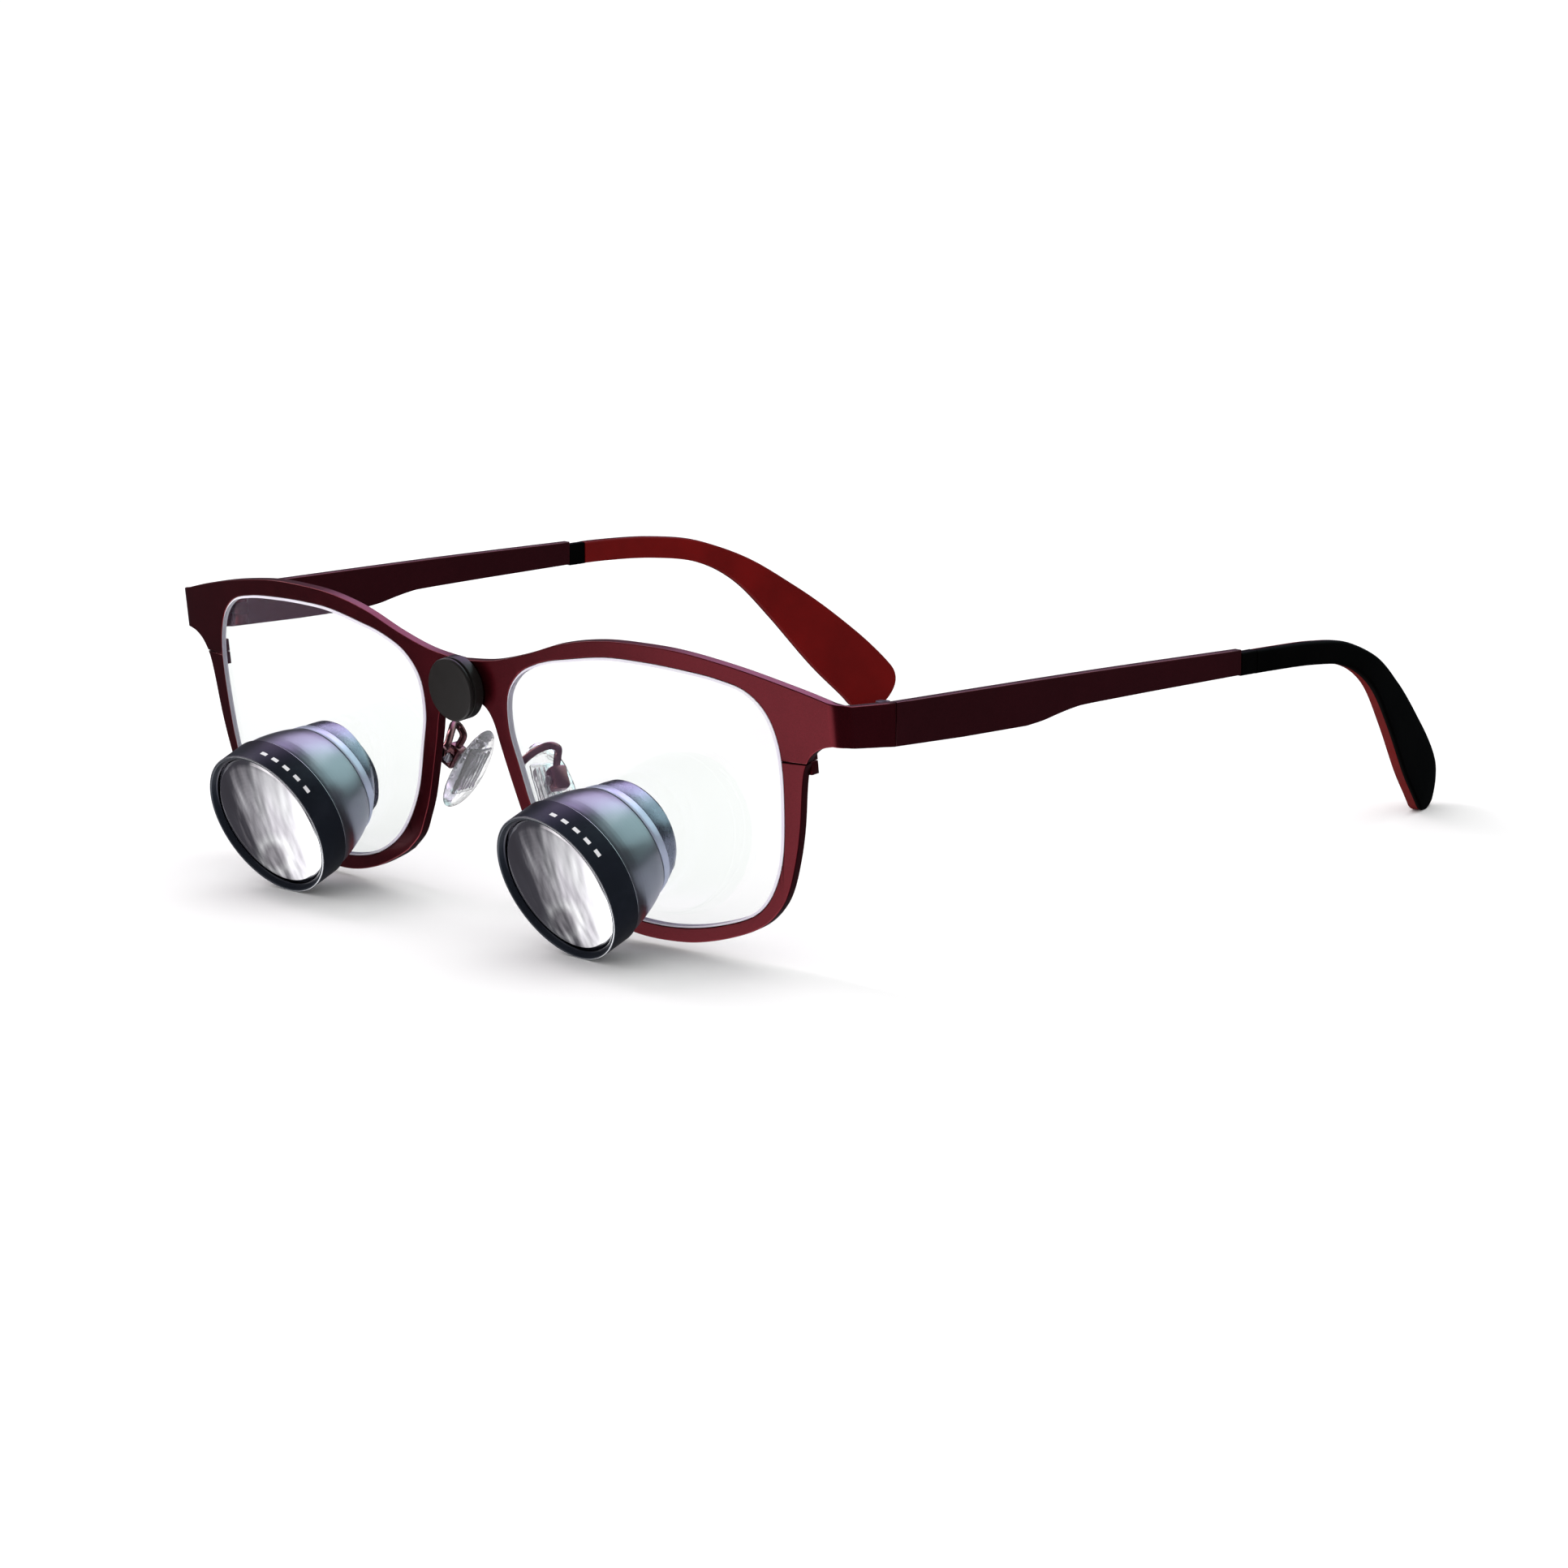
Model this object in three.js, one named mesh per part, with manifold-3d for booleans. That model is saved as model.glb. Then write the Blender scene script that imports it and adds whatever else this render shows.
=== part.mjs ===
// Dental loupes: a metal spectacle frame whose carrier lenses hold two short Galilean telescopes.
// Units are millimetres. +X is the wearer's left, -Y the front (where the telescopes look), +Z up.
// The loupes stand as they lie on a table: on the front lips of both telescopes and both temple tips.
import * as THREE from "three";
import { mergeVertices } from "three/addons/utils/BufferGeometryUtils.js";
import { TessellateModifier } from "three/addons/modifiers/TessellateModifier.js";
import Module from "manifold-3d";

const wasm = await Module();
wasm.setup();

const { Vector2, Vector3, Matrix4 } = THREE;
const radians = THREE.MathUtils.degToRad;

// ---------------------------------------------------------------- driving dimensions

const fitGap = 0.03; // between pieces that touch
const boltGap = 0.05; // radial, between a screw and its hole

const sheet = {
  thickness: 1.5,
  frontRadius: 443, // plan curvature of the front
  tilt: radians(6.83), // the front's top leans forward
  cornerStart: 71, // distance from the middle to where the end piece begins to turn back
  cornerRadius: 2.8, // outer radius of that turn
  splay: radians(1.1), // the temples open outwards by this much
  wingEnd: 15, // how far back the end piece reaches
};

const lens = { thickness: 1.9, edgeHeight: 0.42, edgeHalf: 0.4, chamfer: 0.25, clearance: 0.05 };

const closing = { height: 7.6, slit: 0.12, middle: 64.8, width: 3, depth: 1.6, blockHeight: 1.9, screwRadius: 0.4 };

const mount = { height: 11.7, capRadius: 4.8, capFront: 2.65, seatRadius: 3.8, seatFront: 1.3 };

const hinge = {
  low: 10.9,
  knuckle: 1.6, // height of each of the two end piece knuckles
  middle: 1.8, // height left for the temple's knuckle
  radius: 1.25,
  leaf: 0.6,
  leafLength: 6.2,
  screwRadius: 0.6,
};
hinge.high = hinge.low + 2 * hinge.knuckle + hinge.middle;
hinge.offset = -sheet.thickness - fitGap - hinge.leaf - 0.67; // axis, inwards from the temple's outer face

const temple = { length: 70.8, gap: 0.06 };

const tip = {
  collar: 3.4,
  startWidth: 3.6,
  endWidth: 9.9,
  endRound: 4,
  outerLayer: { start: 0.9, end: 1.45 }, // thickness from the middle surface outwards
  innerLayer: { start: 0.8, end: 0.75 },
  coreHeight: 2.2,
  coreThickness: 0.9,
  glueGap: 0.06, // from the middle surface to each layer
};

const pad = {
  centre: new Vector3(9.44, 7.79, -3.25),
  across: new Vector3(0.23, 0.97, 0), // the pad's short direction, also its rocking axis
  along: new Vector3(-0.49, 0.11, 0.86), // the pad's long direction, upwards
  halfWidth: 4.1,
  halfLength: 7,
  halfThickness: 1.5,
  pivot: 3.2, // from the pad's middle to the rocking axis
};

const telescope = {
  lip: new Vector3(32.45, -12.65, -12.2), // middle of the front lip
  declination: radians(22.6),
  convergence: radians(1.7),
  radius: 11.8,
  segments: 28,
};

const restPitch = radians(1.843); // turns the loupes so that lips and tips meet the table together

// ---------------------------------------------------------------- materials

function metal(colour, roughness, metalness = 0.9) {
  return new THREE.MeshStandardMaterial({ color: colour, roughness, metalness });
}

function plain(colour, roughness, opacity = 1) {
  return new THREE.MeshStandardMaterial({ color: colour, roughness, opacity, transparent: opacity < 1 });
}

const looks = {
  frame: () => metal(0x6a1a24, 0.38),
  temple: () => metal(0x3c1018, 0.4),
  clearLens: () => plain(0xf4f6fa, 0.05, 0.2),
  optic: () => plain(0xb9b4c6, 0.05, 0.5),
  steel: () => metal(0x9a9a9e, 0.3),
  wire: () => metal(0x7a3a3c, 0.22),
  silicone: () => plain(0xe8ecee, 0.2, 0.5),
  insert: () => plain(0xdfe4e6, 0.15, 0.6),
  blackRing: () => metal(0x1c222c, 0.45),
  body: () => metal(0x5f6f78, 0.35),
  band: () => metal(0xb4c4e0, 0.35),
  housing: () => metal(0x59656f, 0.4),
  baffle: () => plain(0x101010, 0.8),
  cap: () => plain(0x2a2625, 0.5),
  tipOuter: () => plain(0x060606, 0.6),
  tipInner: () => plain(0x5a0505, 0.5),
};

// ---------------------------------------------------------------- solids

// A closed geometry as a manifold solid.
function solid(geometry) {
  const bare = geometry.index ? geometry.toNonIndexed() : geometry.clone();
  const points = new THREE.BufferGeometry().setAttribute("position", bare.getAttribute("position"));
  const merged = mergeVertices(points, 1e-4);
  return new wasm.Manifold(
    new wasm.Mesh({
      numProp: 3,
      vertProperties: merged.attributes.position.array,
      triVerts: new Uint32Array(merged.index.array),
    }),
  );
}

// A manifold solid back as a geometry.
function geometryOf(body) {
  const mesh = body.getMesh();
  const stride = mesh.numProp;
  const points = new Float32Array(mesh.numVert * 3);
  for (let i = 0; i < mesh.numVert; i++) {
    points.set(mesh.vertProperties.subarray(i * stride, i * stride + 3), i * 3);
  }
  const geometry = new THREE.BufferGeometry();
  geometry.setAttribute("position", new THREE.BufferAttribute(points, 3));
  geometry.setIndex(new THREE.BufferAttribute(mesh.triVerts, 1));
  return geometry;
}

function join(first, ...others) {
  return geometryOf(others.reduce((sum, other) => sum.add(solid(other)), solid(first)));
}

function cut(first, ...others) {
  return geometryOf(others.reduce((rest, other) => rest.subtract(solid(other)), solid(first)));
}

// Moves every vertex of a geometry by a rule.
function reshape(geometry, rule) {
  const source = geometry.index ? geometry.toNonIndexed() : geometry;
  const place = source.getAttribute("position");
  const point = new Vector3();
  for (let i = 0; i < place.count; i++) {
    point.fromBufferAttribute(place, i);
    rule(point);
    place.setXYZ(i, point.x, point.y, point.z);
  }
  return source;
}

function block(lowX, highX, lowY, highY, lowZ, highZ) {
  const box = new THREE.BoxGeometry(highX - lowX, highY - lowY, highZ - lowZ);
  return box.translate((lowX + highX) / 2, (lowY + highY) / 2, (lowZ + highZ) / 2);
}

// A round bar along Z at (x, y).
function postZ(radius, lowZ, highZ, x = 0, y = 0, sides = 20) {
  const bar = new THREE.CylinderGeometry(radius, radius, highZ - lowZ, sides);
  return bar.rotateX(Math.PI / 2).translate(x, y, (lowZ + highZ) / 2);
}

// A round bar along Y at (x, z).
function postY(radius, lowY, highY, x = 0, z = 0, sides = 20) {
  const bar = new THREE.CylinderGeometry(radius, radius, highY - lowY, sides);
  return bar.translate(x, (lowY + highY) / 2, z);
}

// A round bar along X at (y, z).
function postX(radius, lowX, highX, y = 0, z = 0, sides = 20) {
  const bar = new THREE.CylinderGeometry(radius, radius, highX - lowX, sides);
  return bar.rotateZ(Math.PI / 2).translate((lowX + highX) / 2, y, z);
}

// Turns a closed (radius, depth) profile about the +Z axis, with depth along +Z.
function turned(profile, segments) {
  const points = profile.map(([radius, depth]) => new Vector2(radius, depth));
  const last = points[points.length - 1];
  if (points[0].x > 0 || last.x > 0) points.push(points[0].clone());
  return new THREE.LatheGeometry(points, segments).rotateX(Math.PI / 2);
}

// A smooth run of 2-D points through a few given ones.
function smooth(points, count) {
  const curve = new THREE.SplineCurve(points.map(([x, y]) => new Vector2(x, y)));
  return curve.getSpacedPoints(count);
}

// A closed solid through rings of points that all have the same count.
function loft(rings) {
  const sides = rings[0].length;
  const triangles = [];
  const facing = (a, b, c) => triangles.push(a, b, c);
  for (let i = 0; i + 1 < rings.length; i++) {
    for (let j = 0; j < sides; j++) {
      const k = (j + 1) % sides;
      facing(rings[i][j], rings[i][k], rings[i + 1][k]);
      facing(rings[i][j], rings[i + 1][k], rings[i + 1][j]);
    }
  }
  const cap = (ring, flip) => {
    const middle = ring.reduce((sum, p) => sum.add(p), new Vector3()).divideScalar(sides);
    for (let j = 0; j < sides; j++) {
      const k = (j + 1) % sides;
      if (flip) facing(middle, ring[k], ring[j]);
      else facing(middle, ring[j], ring[k]);
    }
  };
  cap(rings[0], true);
  cap(rings[rings.length - 1], false);
  return new THREE.BufferGeometry().setFromPoints(triangles);
}

function mesh(name, geometry, material) {
  const made = new THREE.Mesh(geometry, material);
  made.name = name;
  return made;
}

// ---------------------------------------------------------------- the bent front sheet

const corner = (() => {
  const slope = Math.atan(sheet.cornerStart / sheet.frontRadius);
  const turn = Math.PI / 2 - sheet.splay - slope;
  const startX = sheet.cornerStart;
  const startY = startX ** 2 / (2 * sheet.frontRadius);
  const centreX = startX - sheet.cornerRadius * Math.sin(slope);
  const centreY = startY + sheet.cornerRadius * Math.cos(slope);
  const length = sheet.cornerRadius * turn;
  const endAngle = slope + turn;
  const endX = centreX + sheet.cornerRadius * Math.sin(endAngle);
  const endY = centreY - sheet.cornerRadius * Math.cos(endAngle);
  return { slope, startY, centreX, centreY, length, endAngle, endX, endY, end: startX + length };
})();

const wingLength = (sheet.wingEnd - corner.endY) / Math.sin(corner.endAngle);
const patternEnd = corner.end + wingLength;
const liftLimit = corner.startY + sheet.thickness;

// Takes a point of the flat pattern (along the sheet, depth into it, height) to its bent place.
function bendPoint(point) {
  const side = point.x < 0 ? -1 : 1;
  const along = Math.abs(point.x);
  let angle;
  let x;
  let y;
  if (along <= sheet.cornerStart) {
    angle = Math.atan(along / sheet.frontRadius);
    x = along;
    y = along ** 2 / (2 * sheet.frontRadius);
  } else if (along <= corner.end) {
    angle = corner.slope + (along - sheet.cornerStart) / sheet.cornerRadius;
    x = corner.centreX + sheet.cornerRadius * Math.sin(angle);
    y = corner.centreY - sheet.cornerRadius * Math.cos(angle);
  } else {
    angle = corner.endAngle;
    x = corner.endX + Math.cos(angle) * (along - corner.end);
    y = corner.endY + Math.sin(angle) * (along - corner.end);
  }
  x -= Math.sin(angle) * point.y;
  y += Math.cos(angle) * point.y;
  const lean = 1 - THREE.MathUtils.smoothstep(along, corner.end, patternEnd);
  const sine = Math.sin(sheet.tilt);
  const cosine = Math.cos(sheet.tilt);
  point.set(side * x, y * cosine - lean * point.z * sine, Math.min(y, liftLimit) * sine + point.z * cosine);
}

// Splits long edges, then bends.
function bent(flat, longest = 6) {
  const bare = flat.index ? flat.toNonIndexed() : flat;
  const plainFlat = new THREE.BufferGeometry().setAttribute("position", bare.getAttribute("position"));
  const split = new TessellateModifier(longest, 12).modify(plainFlat);
  return reshape(split, bendPoint);
}

// Extrudes a closed outline of (along, height) points through a range of depths.
function plate(outline, lowDepth, highDepth, bevel = {}) {
  const { size = 0, thickness = 0, offset = 0 } = bevel;
  const shape = new THREE.Shape(outline);
  const geometry = new THREE.ExtrudeGeometry(shape, {
    depth: highDepth - lowDepth - 2 * thickness,
    bevelEnabled: size > 0,
    bevelSize: size,
    bevelThickness: thickness,
    bevelOffset: offset,
    bevelSegments: 1,
    steps: 1,
  });
  return geometry.rotateX(Math.PI / 2).translate(0, highDepth - thickness, 0);
}

function mirrored(points) {
  return points.map((p) => new Vector2(-p.x, p.y)).reverse();
}

// The edge of one lens opening, clockwise or not as sampled from a closed curve.
function openingOutline(count) {
  const points = [
    [62.0, 1.3], [61.9, 10.1], [60.1, 14.6], [56.9, 17.3], [51.9, 18.6], [44.1, 19.4], [37.2, 19.7],
    [30.7, 19.6], [23.2, 18.5], [18.2, 17.5], [12.9, 15.3], [9.9, 11.8], [9.3, 6.5], [10.6, 1.3],
    [13.4, -7.1], [18.4, -13.9], [25.9, -18.2], [37.2, -19.7], [48.4, -18.2], [56.2, -15.0],
    [60.2, -9.0],
  ];
  const curve = new THREE.CatmullRomCurve3(points.map(([x, y]) => new Vector3(x, y, 0)), true, "centripetal");
  const spaced = curve.getSpacedPoints(count);
  spaced.pop();
  return spaced.map((p) => new Vector2(p.x, p.y));
}

// Half of the front's outer edge, from the middle of the brow round to the middle of the arch.
function halfFrontOutline() {
  const brow = smooth(
    [[0, 15.7], [7, 16.4], [14, 18.1], [22, 20.6], [30, 21.95], [38, 22.2], [46, 21.85], [56, 20.4], [65.8, 18.3], [71, 16.95]],
    21,
  );
  const wing = [
    [corner.end, 16.25],
    [patternEnd, 15.75],
    [patternEnd, 9.4],
    [corner.end, 10.15],
  ].map(([x, y]) => new Vector2(x, y));
  const side = smooth(
    [[71.4, 10.6], [69.9, 10.3], [68.4, 9.6], [67.2, 8.5], [66.2, 6.8], [65.5, 4], [64.5, -2], [63.3, -6.7],
      [61.6, -11.4], [59.7, -14.4], [56.8, -17], [52.8, -18.95], [46.6, -20.8], [40.5, -21.75], [32.5, -21.7],
      [25.5, -20.1], [19.5, -17.5]],
    30,
  );
  const nose = smooth(
    [[17.2, -16.2], [14, -13.4], [12.2, -10.4], [10.6, -7.2], [9.3, -3.6], [8.1, 0], [7, 3.5], [6, 6.9], [4.6, 8.9], [2.4, 9.75], [0, 9.9]],
    16,
  );
  return [...brow, ...wing, ...side, ...nose];
}

function frontOutline() {
  const half = halfFrontOutline();
  const other = mirrored(half).slice(1, -1);
  return [...half, ...other];
}

// The slit that opens one rim so that its lens can be fitted.
function closingSlit() {
  const { height, slit } = closing;
  return block(60, 68, -1, sheet.thickness + 1, height - slit / 2, height + slit / 2);
}

function frontFrame() {
  const outer = plate(frontOutline(), 0, sheet.thickness, { size: 0.18, thickness: 0.18, offset: -0.18 });
  const opening = openingOutline(48);
  const middle = sheet.thickness / 2;
  const grooveHalf = lens.edgeHalf + lens.clearance;
  const groove = plate(opening, middle - grooveHalf, middle + grooveHalf, {
    size: lens.edgeHeight + lens.clearance,
    thickness: lens.edgeHalf,
  });
  const hole = plate(opening, -1, sheet.thickness + 1);
  const cutters = [hole, groove, closingSlit()];
  let body = solid(outer);
  for (const cutter of cutters) {
    body = body.subtract(solid(cutter));
    body = body.subtract(solid(cutter).mirror([1, 0, 0]));
  }
  const screwHole = postY(0.85, -1, sheet.thickness + 1, 0, mount.height);
  return bent(geometryOf(body.subtract(solid(screwHole))));
}

// One carrier lens: a V edge sits in the rim's groove, and the telescope's seat is cut through it.
function carrierLens() {
  const middle = sheet.thickness / 2;
  const half = lens.thickness / 2;
  const opening = openingOutline(48);
  const pane = plate(opening, middle - half, middle + half, {
    size: lens.chamfer,
    thickness: lens.chamfer,
    offset: -lens.clearance - lens.chamfer,
  });
  const edge = plate(opening, middle - lens.edgeHalf, middle + lens.edgeHalf, {
    size: lens.edgeHeight,
    thickness: lens.edgeHalf - lens.clearance,
    offset: -lens.clearance,
  });
  return cut(bent(join(pane, edge), 9), telescopeSeat());
}

function rimLock(low, high) {
  const { middle, width, screwRadius, depth } = closing;
  const back = sheet.thickness + fitGap;
  const body = block(middle - width / 2, middle + width / 2, back, back + depth, low, high);
  const bore = postZ(screwRadius + boltGap, low - 1, high + 1, middle, back + depth / 2, 16);
  return bent(cut(body, bore), 20);
}

function rimLockScrew() {
  const { height, middle, blockHeight, screwRadius, depth, slit } = closing;
  const y = sheet.thickness + fitGap + depth / 2;
  const low = height - slit / 2 - blockHeight;
  const high = height + slit / 2 + blockHeight;
  const shank = postZ(screwRadius, low + 0.2, high + 0.05, middle, y, 14);
  const head = postZ(0.75, high + fitGap, high + 0.5, middle, y, 16);
  const slot = block(middle - 1, middle + 1, y - 0.12, y + 0.12, high + 0.3, high + 1);
  return bent(cut(join(shank, head), slot), 20);
}

// ---------------------------------------------------------------- telescope

const telescopeMatrix = (() => {
  const { declination, convergence, lip } = telescope;
  const back = new Vector3(
    Math.sin(convergence) * Math.cos(declination),
    Math.cos(convergence) * Math.cos(declination),
    Math.sin(declination),
  );
  const across = new Vector3(0, 0, 1).cross(back).normalize();
  const up = back.clone().cross(across);
  return new Matrix4().makeBasis(across, up, back).setPosition(lip);
})();

// Outer shape from the ring's back edge to the eyepiece, as (radius, depth from the lip).
const bodyTaper = [[11.55, 5.1], [11.28, 7], [10.78, 9], [10.12, 11], [9.4, 12.65]];
const bandTaper = [[9.35, 12.7], [9.3, 13.2], [8.95, 14.3]];
const housingTaper = [[8.8, 14.35], [8.5, 15.8], [8.05, 17.3], [7.7, 17.7], [7, 17.9]];
const eyepieceEnd = 18.6; // inside the carrier lens's bore

// The hole in the carrier lens, a little larger than the telescope's back half.
function telescopeSeat() {
  const room = 0.08;
  const wall = [...bodyTaper.slice(2), ...bandTaper, ...housingTaper].map(([r, d]) => [r + room, d]);
  const sleeve = wall[wall.length - 1][0];
  const profile = [[0, 9], ...wall, [sleeve, eyepieceEnd + 3], [0, eyepieceEnd + 3]];
  return turned(profile, telescope.segments).applyMatrix4(telescopeMatrix);
}

// A lens front or back: points of a shallow dome from the edge to the axis.
function dome(radius, edge, crown, count = 2) {
  const points = [];
  for (let i = 0; i <= count; i++) {
    const r = radius * (1 - i / count);
    points.push([r, crown + (edge - crown) * (r / radius) ** 2]);
  }
  return points;
}

const telescopeParts = {
  objective_ring: {
    look: looks.blackRing,
    profile: [[10.85, 0.85], [11.15, 0], [11.6, 0], [11.8, 0.22], [11.8, 5.05], [11.17, 5.05], [11.17, 0.85]],
  },
  objective_lens: {
    look: looks.optic,
    profile: [...dome(11.12, 0.9, 0.05).reverse(), ...dome(11.12, 3, 3.5)],
  },
  lens_retainer: {
    look: looks.baffle,
    profile: [[10.3, 3.2], [11.12, 3.2], [11.12, 4.2], [10.3, 4.2]],
  },
  barrel_body: {
    look: looks.body,
    profile: [[10.3, 4.25], [11.12, 4.25], [11.12, 5.1], ...bodyTaper, [8.3, 12.65], [9.3, 9.5], [10.3, 6]],
  },
  baffle: {
    look: looks.baffle,
    profile: [[9.6, 6.1], [10.2, 6.1], [9.2, 9.5], [8.2, 12.6], [7.7, 12.6]],
  },
  lock_ring: {
    look: looks.band,
    profile: [[7.62, 12.7], ...bandTaper, [7.62, 14.3]],
  },
  eyepiece_housing: {
    look: looks.housing,
    profile: [
      [6.75, 12.75],
      [7.57, 12.75],
      [7.57, 14.35],
      ...housingTaper,
      [7, eyepieceEnd - 0.2],
      [6.8, eyepieceEnd],
      [5.9, eyepieceEnd],
      [5.9, eyepieceEnd - 0.4],
      [6.35, eyepieceEnd - 0.5],
      [6.35, 15.4],
      [6.75, 15],
    ],
  },
  eyepiece_lens: {
    look: looks.optic,
    profile: [...dome(6.3, 15.6, 16.4).reverse(), ...dome(6.3, eyepieceEnd - 0.6, eyepieceEnd - 1.1)],
  },
};

function telescopeMeshes(side) {
  return Object.entries(telescopeParts).map(([name, { profile, look }]) => {
    const made = mesh(name + "_" + side, turned(profile, telescope.segments), look());
    made.applyMatrix4(telescopeMatrix);
    return made;
  });
}

// ---------------------------------------------------------------- nose pads

const padMatrix = (() => {
  const across = pad.across.clone().normalize();
  const along = pad.along.clone().addScaledVector(across, -pad.along.dot(across)).normalize();
  const outward = across.clone().cross(along);
  return new Matrix4().makeBasis(across, along, outward).setPosition(pad.centre);
})();

// The pad's hard insert: a plate inside the pad and a tab that reaches into the box.
function insertShape(grow) {
  const plateBody = block(-2.2 - grow, 2.2 + grow, -4 - grow, 4 + grow, -0.4 - grow, 0.4 + grow);
  const tab = block(-0.5 - grow, 0.5 + grow, -0.85 - grow, 0.85 + grow, 0, pad.pivot + 0.7);
  return join(plateBody, tab);
}

function padInsert() {
  return cut(insertShape(0), postX(0.5, -2, 2, 0, pad.pivot, 16));
}

function nosePad() {
  const oval = new THREE.SphereGeometry(1, 20, 12);
  oval.scale(pad.halfWidth, pad.halfLength, pad.halfThickness);
  return cut(oval, insertShape(fitGap));
}

function padArm() {
  const { pivot } = pad;
  const box = block(-1.3, 1.3, -1.6, 1.9, pivot - 1.1, pivot + 1.3);
  const slot = block(-0.62, 0.62, -1.15, 1.15, pivot - 2, pivot + 0.95);
  const bore = postX(0.45, -3, 3, 0, pivot, 16);
  const boxBody = cut(box, slot, bore).applyMatrix4(padMatrix);
  const end = new Vector3(0, 1.4, pivot + 0.1).applyMatrix4(padMatrix);
  const path = new THREE.CatmullRomCurve3([
    new Vector3(8.75, 1.95, 0.2),
    new Vector3(8.9, 3.1, 1.1),
    new Vector3(10.0, 4.9, 2.7),
    new Vector3(11.2, 6.5, 3.4),
    new Vector3(11.5, 7.7, 2.9),
    new Vector3(11.0, 8.1, 1.5),
    end,
  ]);
  const ring = new THREE.Shape().absarc(0, 0, 0.57, 0, 2 * Math.PI, false);
  const wire = new THREE.ExtrudeGeometry(ring, { steps: 18, curveSegments: 5, extrudePath: path, bevelEnabled: false });
  const foot = new THREE.CylinderGeometry(0.85, 0.85, 0.5, 14);
  foot.rotateX(sheet.tilt).translate(8.85, 2.1, 0.2);
  return join(wire, foot, boxBody);
}

function padScrew() {
  const { pivot } = pad;
  const shank = postX(0.4, -1.35, 1.2, 0, pivot, 16);
  const head = postX(0.75, -1.75, -1.3 - fitGap, 0, pivot, 16);
  const slot = block(-2, -1.6, -1, 1, pivot - 0.1, pivot + 0.1);
  return cut(join(shank, head), slot);
}

// ---------------------------------------------------------------- hinges and temples

// Hinge pieces and temples share a frame: origin where the temple's outer face meets the end piece,
// +Y back along the temple, -X inwards.
function placeOnWing(object) {
  object.rotation.z = -sheet.splay;
  const along = sheet.wingEnd - corner.endY;
  object.position.set(corner.endX + along / Math.tan(corner.endAngle), sheet.wingEnd, 0);
  return object;
}

const leafOuter = -sheet.thickness - fitGap;
const leafInner = leafOuter - hinge.leaf;
const swingRoom = hinge.radius + 0.1;
const middleLow = hinge.low + hinge.knuckle;
const middleHigh = middleLow + hinge.middle;

function hingeBore() {
  return postZ(hinge.screwRadius + boltGap, hinge.low - 2, hinge.high + 2, hinge.offset, 0);
}

function endpieceHinge() {
  const leaf = block(leafInner, leafOuter, -hinge.leafLength, -temple.gap / 2, hinge.low, hinge.high);
  const lower = postZ(hinge.radius, hinge.low, middleLow - 0.03, hinge.offset, 0);
  const upper = postZ(hinge.radius, middleHigh + 0.03, hinge.high, hinge.offset, 0);
  const room = block(-9, 0, -swingRoom, 3, middleLow - 0.03, middleHigh + 0.03);
  return cut(join(leaf, lower, upper), room, hingeBore());
}

function templeHinge() {
  const leaf = block(leafInner, leafOuter, temple.gap, hinge.leafLength, hinge.low, hinge.high);
  const knuckle = postZ(hinge.radius, middleLow + 0.03, middleHigh - 0.03, hinge.offset, 0);
  const lowRoom = block(-9, 0, -3, swingRoom, hinge.low - 1, middleLow + 0.03);
  const highRoom = block(-9, 0, -3, swingRoom, middleHigh - 0.03, hinge.high + 1);
  return cut(join(leaf, knuckle), lowRoom, highRoom, hingeBore());
}

function hingeScrew() {
  const { screwRadius, offset, low, high } = hinge;
  const shank = postZ(screwRadius, low - 0.1, high + 0.1, offset, 0);
  const head = postZ(1.05, high + fitGap, high + 0.45, offset, 0);
  const slot = block(offset - 2, offset + 2, -0.12, 0.12, high + 0.25, high + 1);
  return cut(join(shank, head), slot);
}

// The middle line of a temple's tip, in the temple's frame.
const tipCurve = new THREE.CatmullRomCurve3([
  new Vector3(-0.75, 70.8, 13.35),
  new Vector3(-0.9, 78, 13.3),
  new Vector3(-2.1, 88.7, 12.75),
  new Vector3(-4.1, 97.5, 11.3),
  new Vector3(-6.2, 105.7, 7.6),
  new Vector3(-9, 113.5, 1.1),
  new Vector3(-12.1, 121.3, -6.7),
  new Vector3(-14.6, 127.7, -13.3),
  new Vector3(-15.8, 130.4, -17.2),
]);
const tipTotal = tipCurve.getLength();

// Full height of the tip, across its length, at a distance from its start.
function tipWidth(distance) {
  const swell = THREE.MathUtils.smoothstep(distance, 28, tipTotal - 9);
  const nearEnd = Math.max(0, distance - (tipTotal - tip.endRound)) / tip.endRound;
  const full = THREE.MathUtils.lerp(tip.startWidth, tip.endWidth, swell);
  return full * Math.sqrt(Math.max(0.02, 1 - nearEnd ** 2));
}

// Thickness of one of the tip's layers at a distance from its start.
function layerThickness(layer, distance) {
  return THREE.MathUtils.lerp(layer.start, layer.end, THREE.MathUtils.smoothstep(distance, 6, 42));
}

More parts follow.
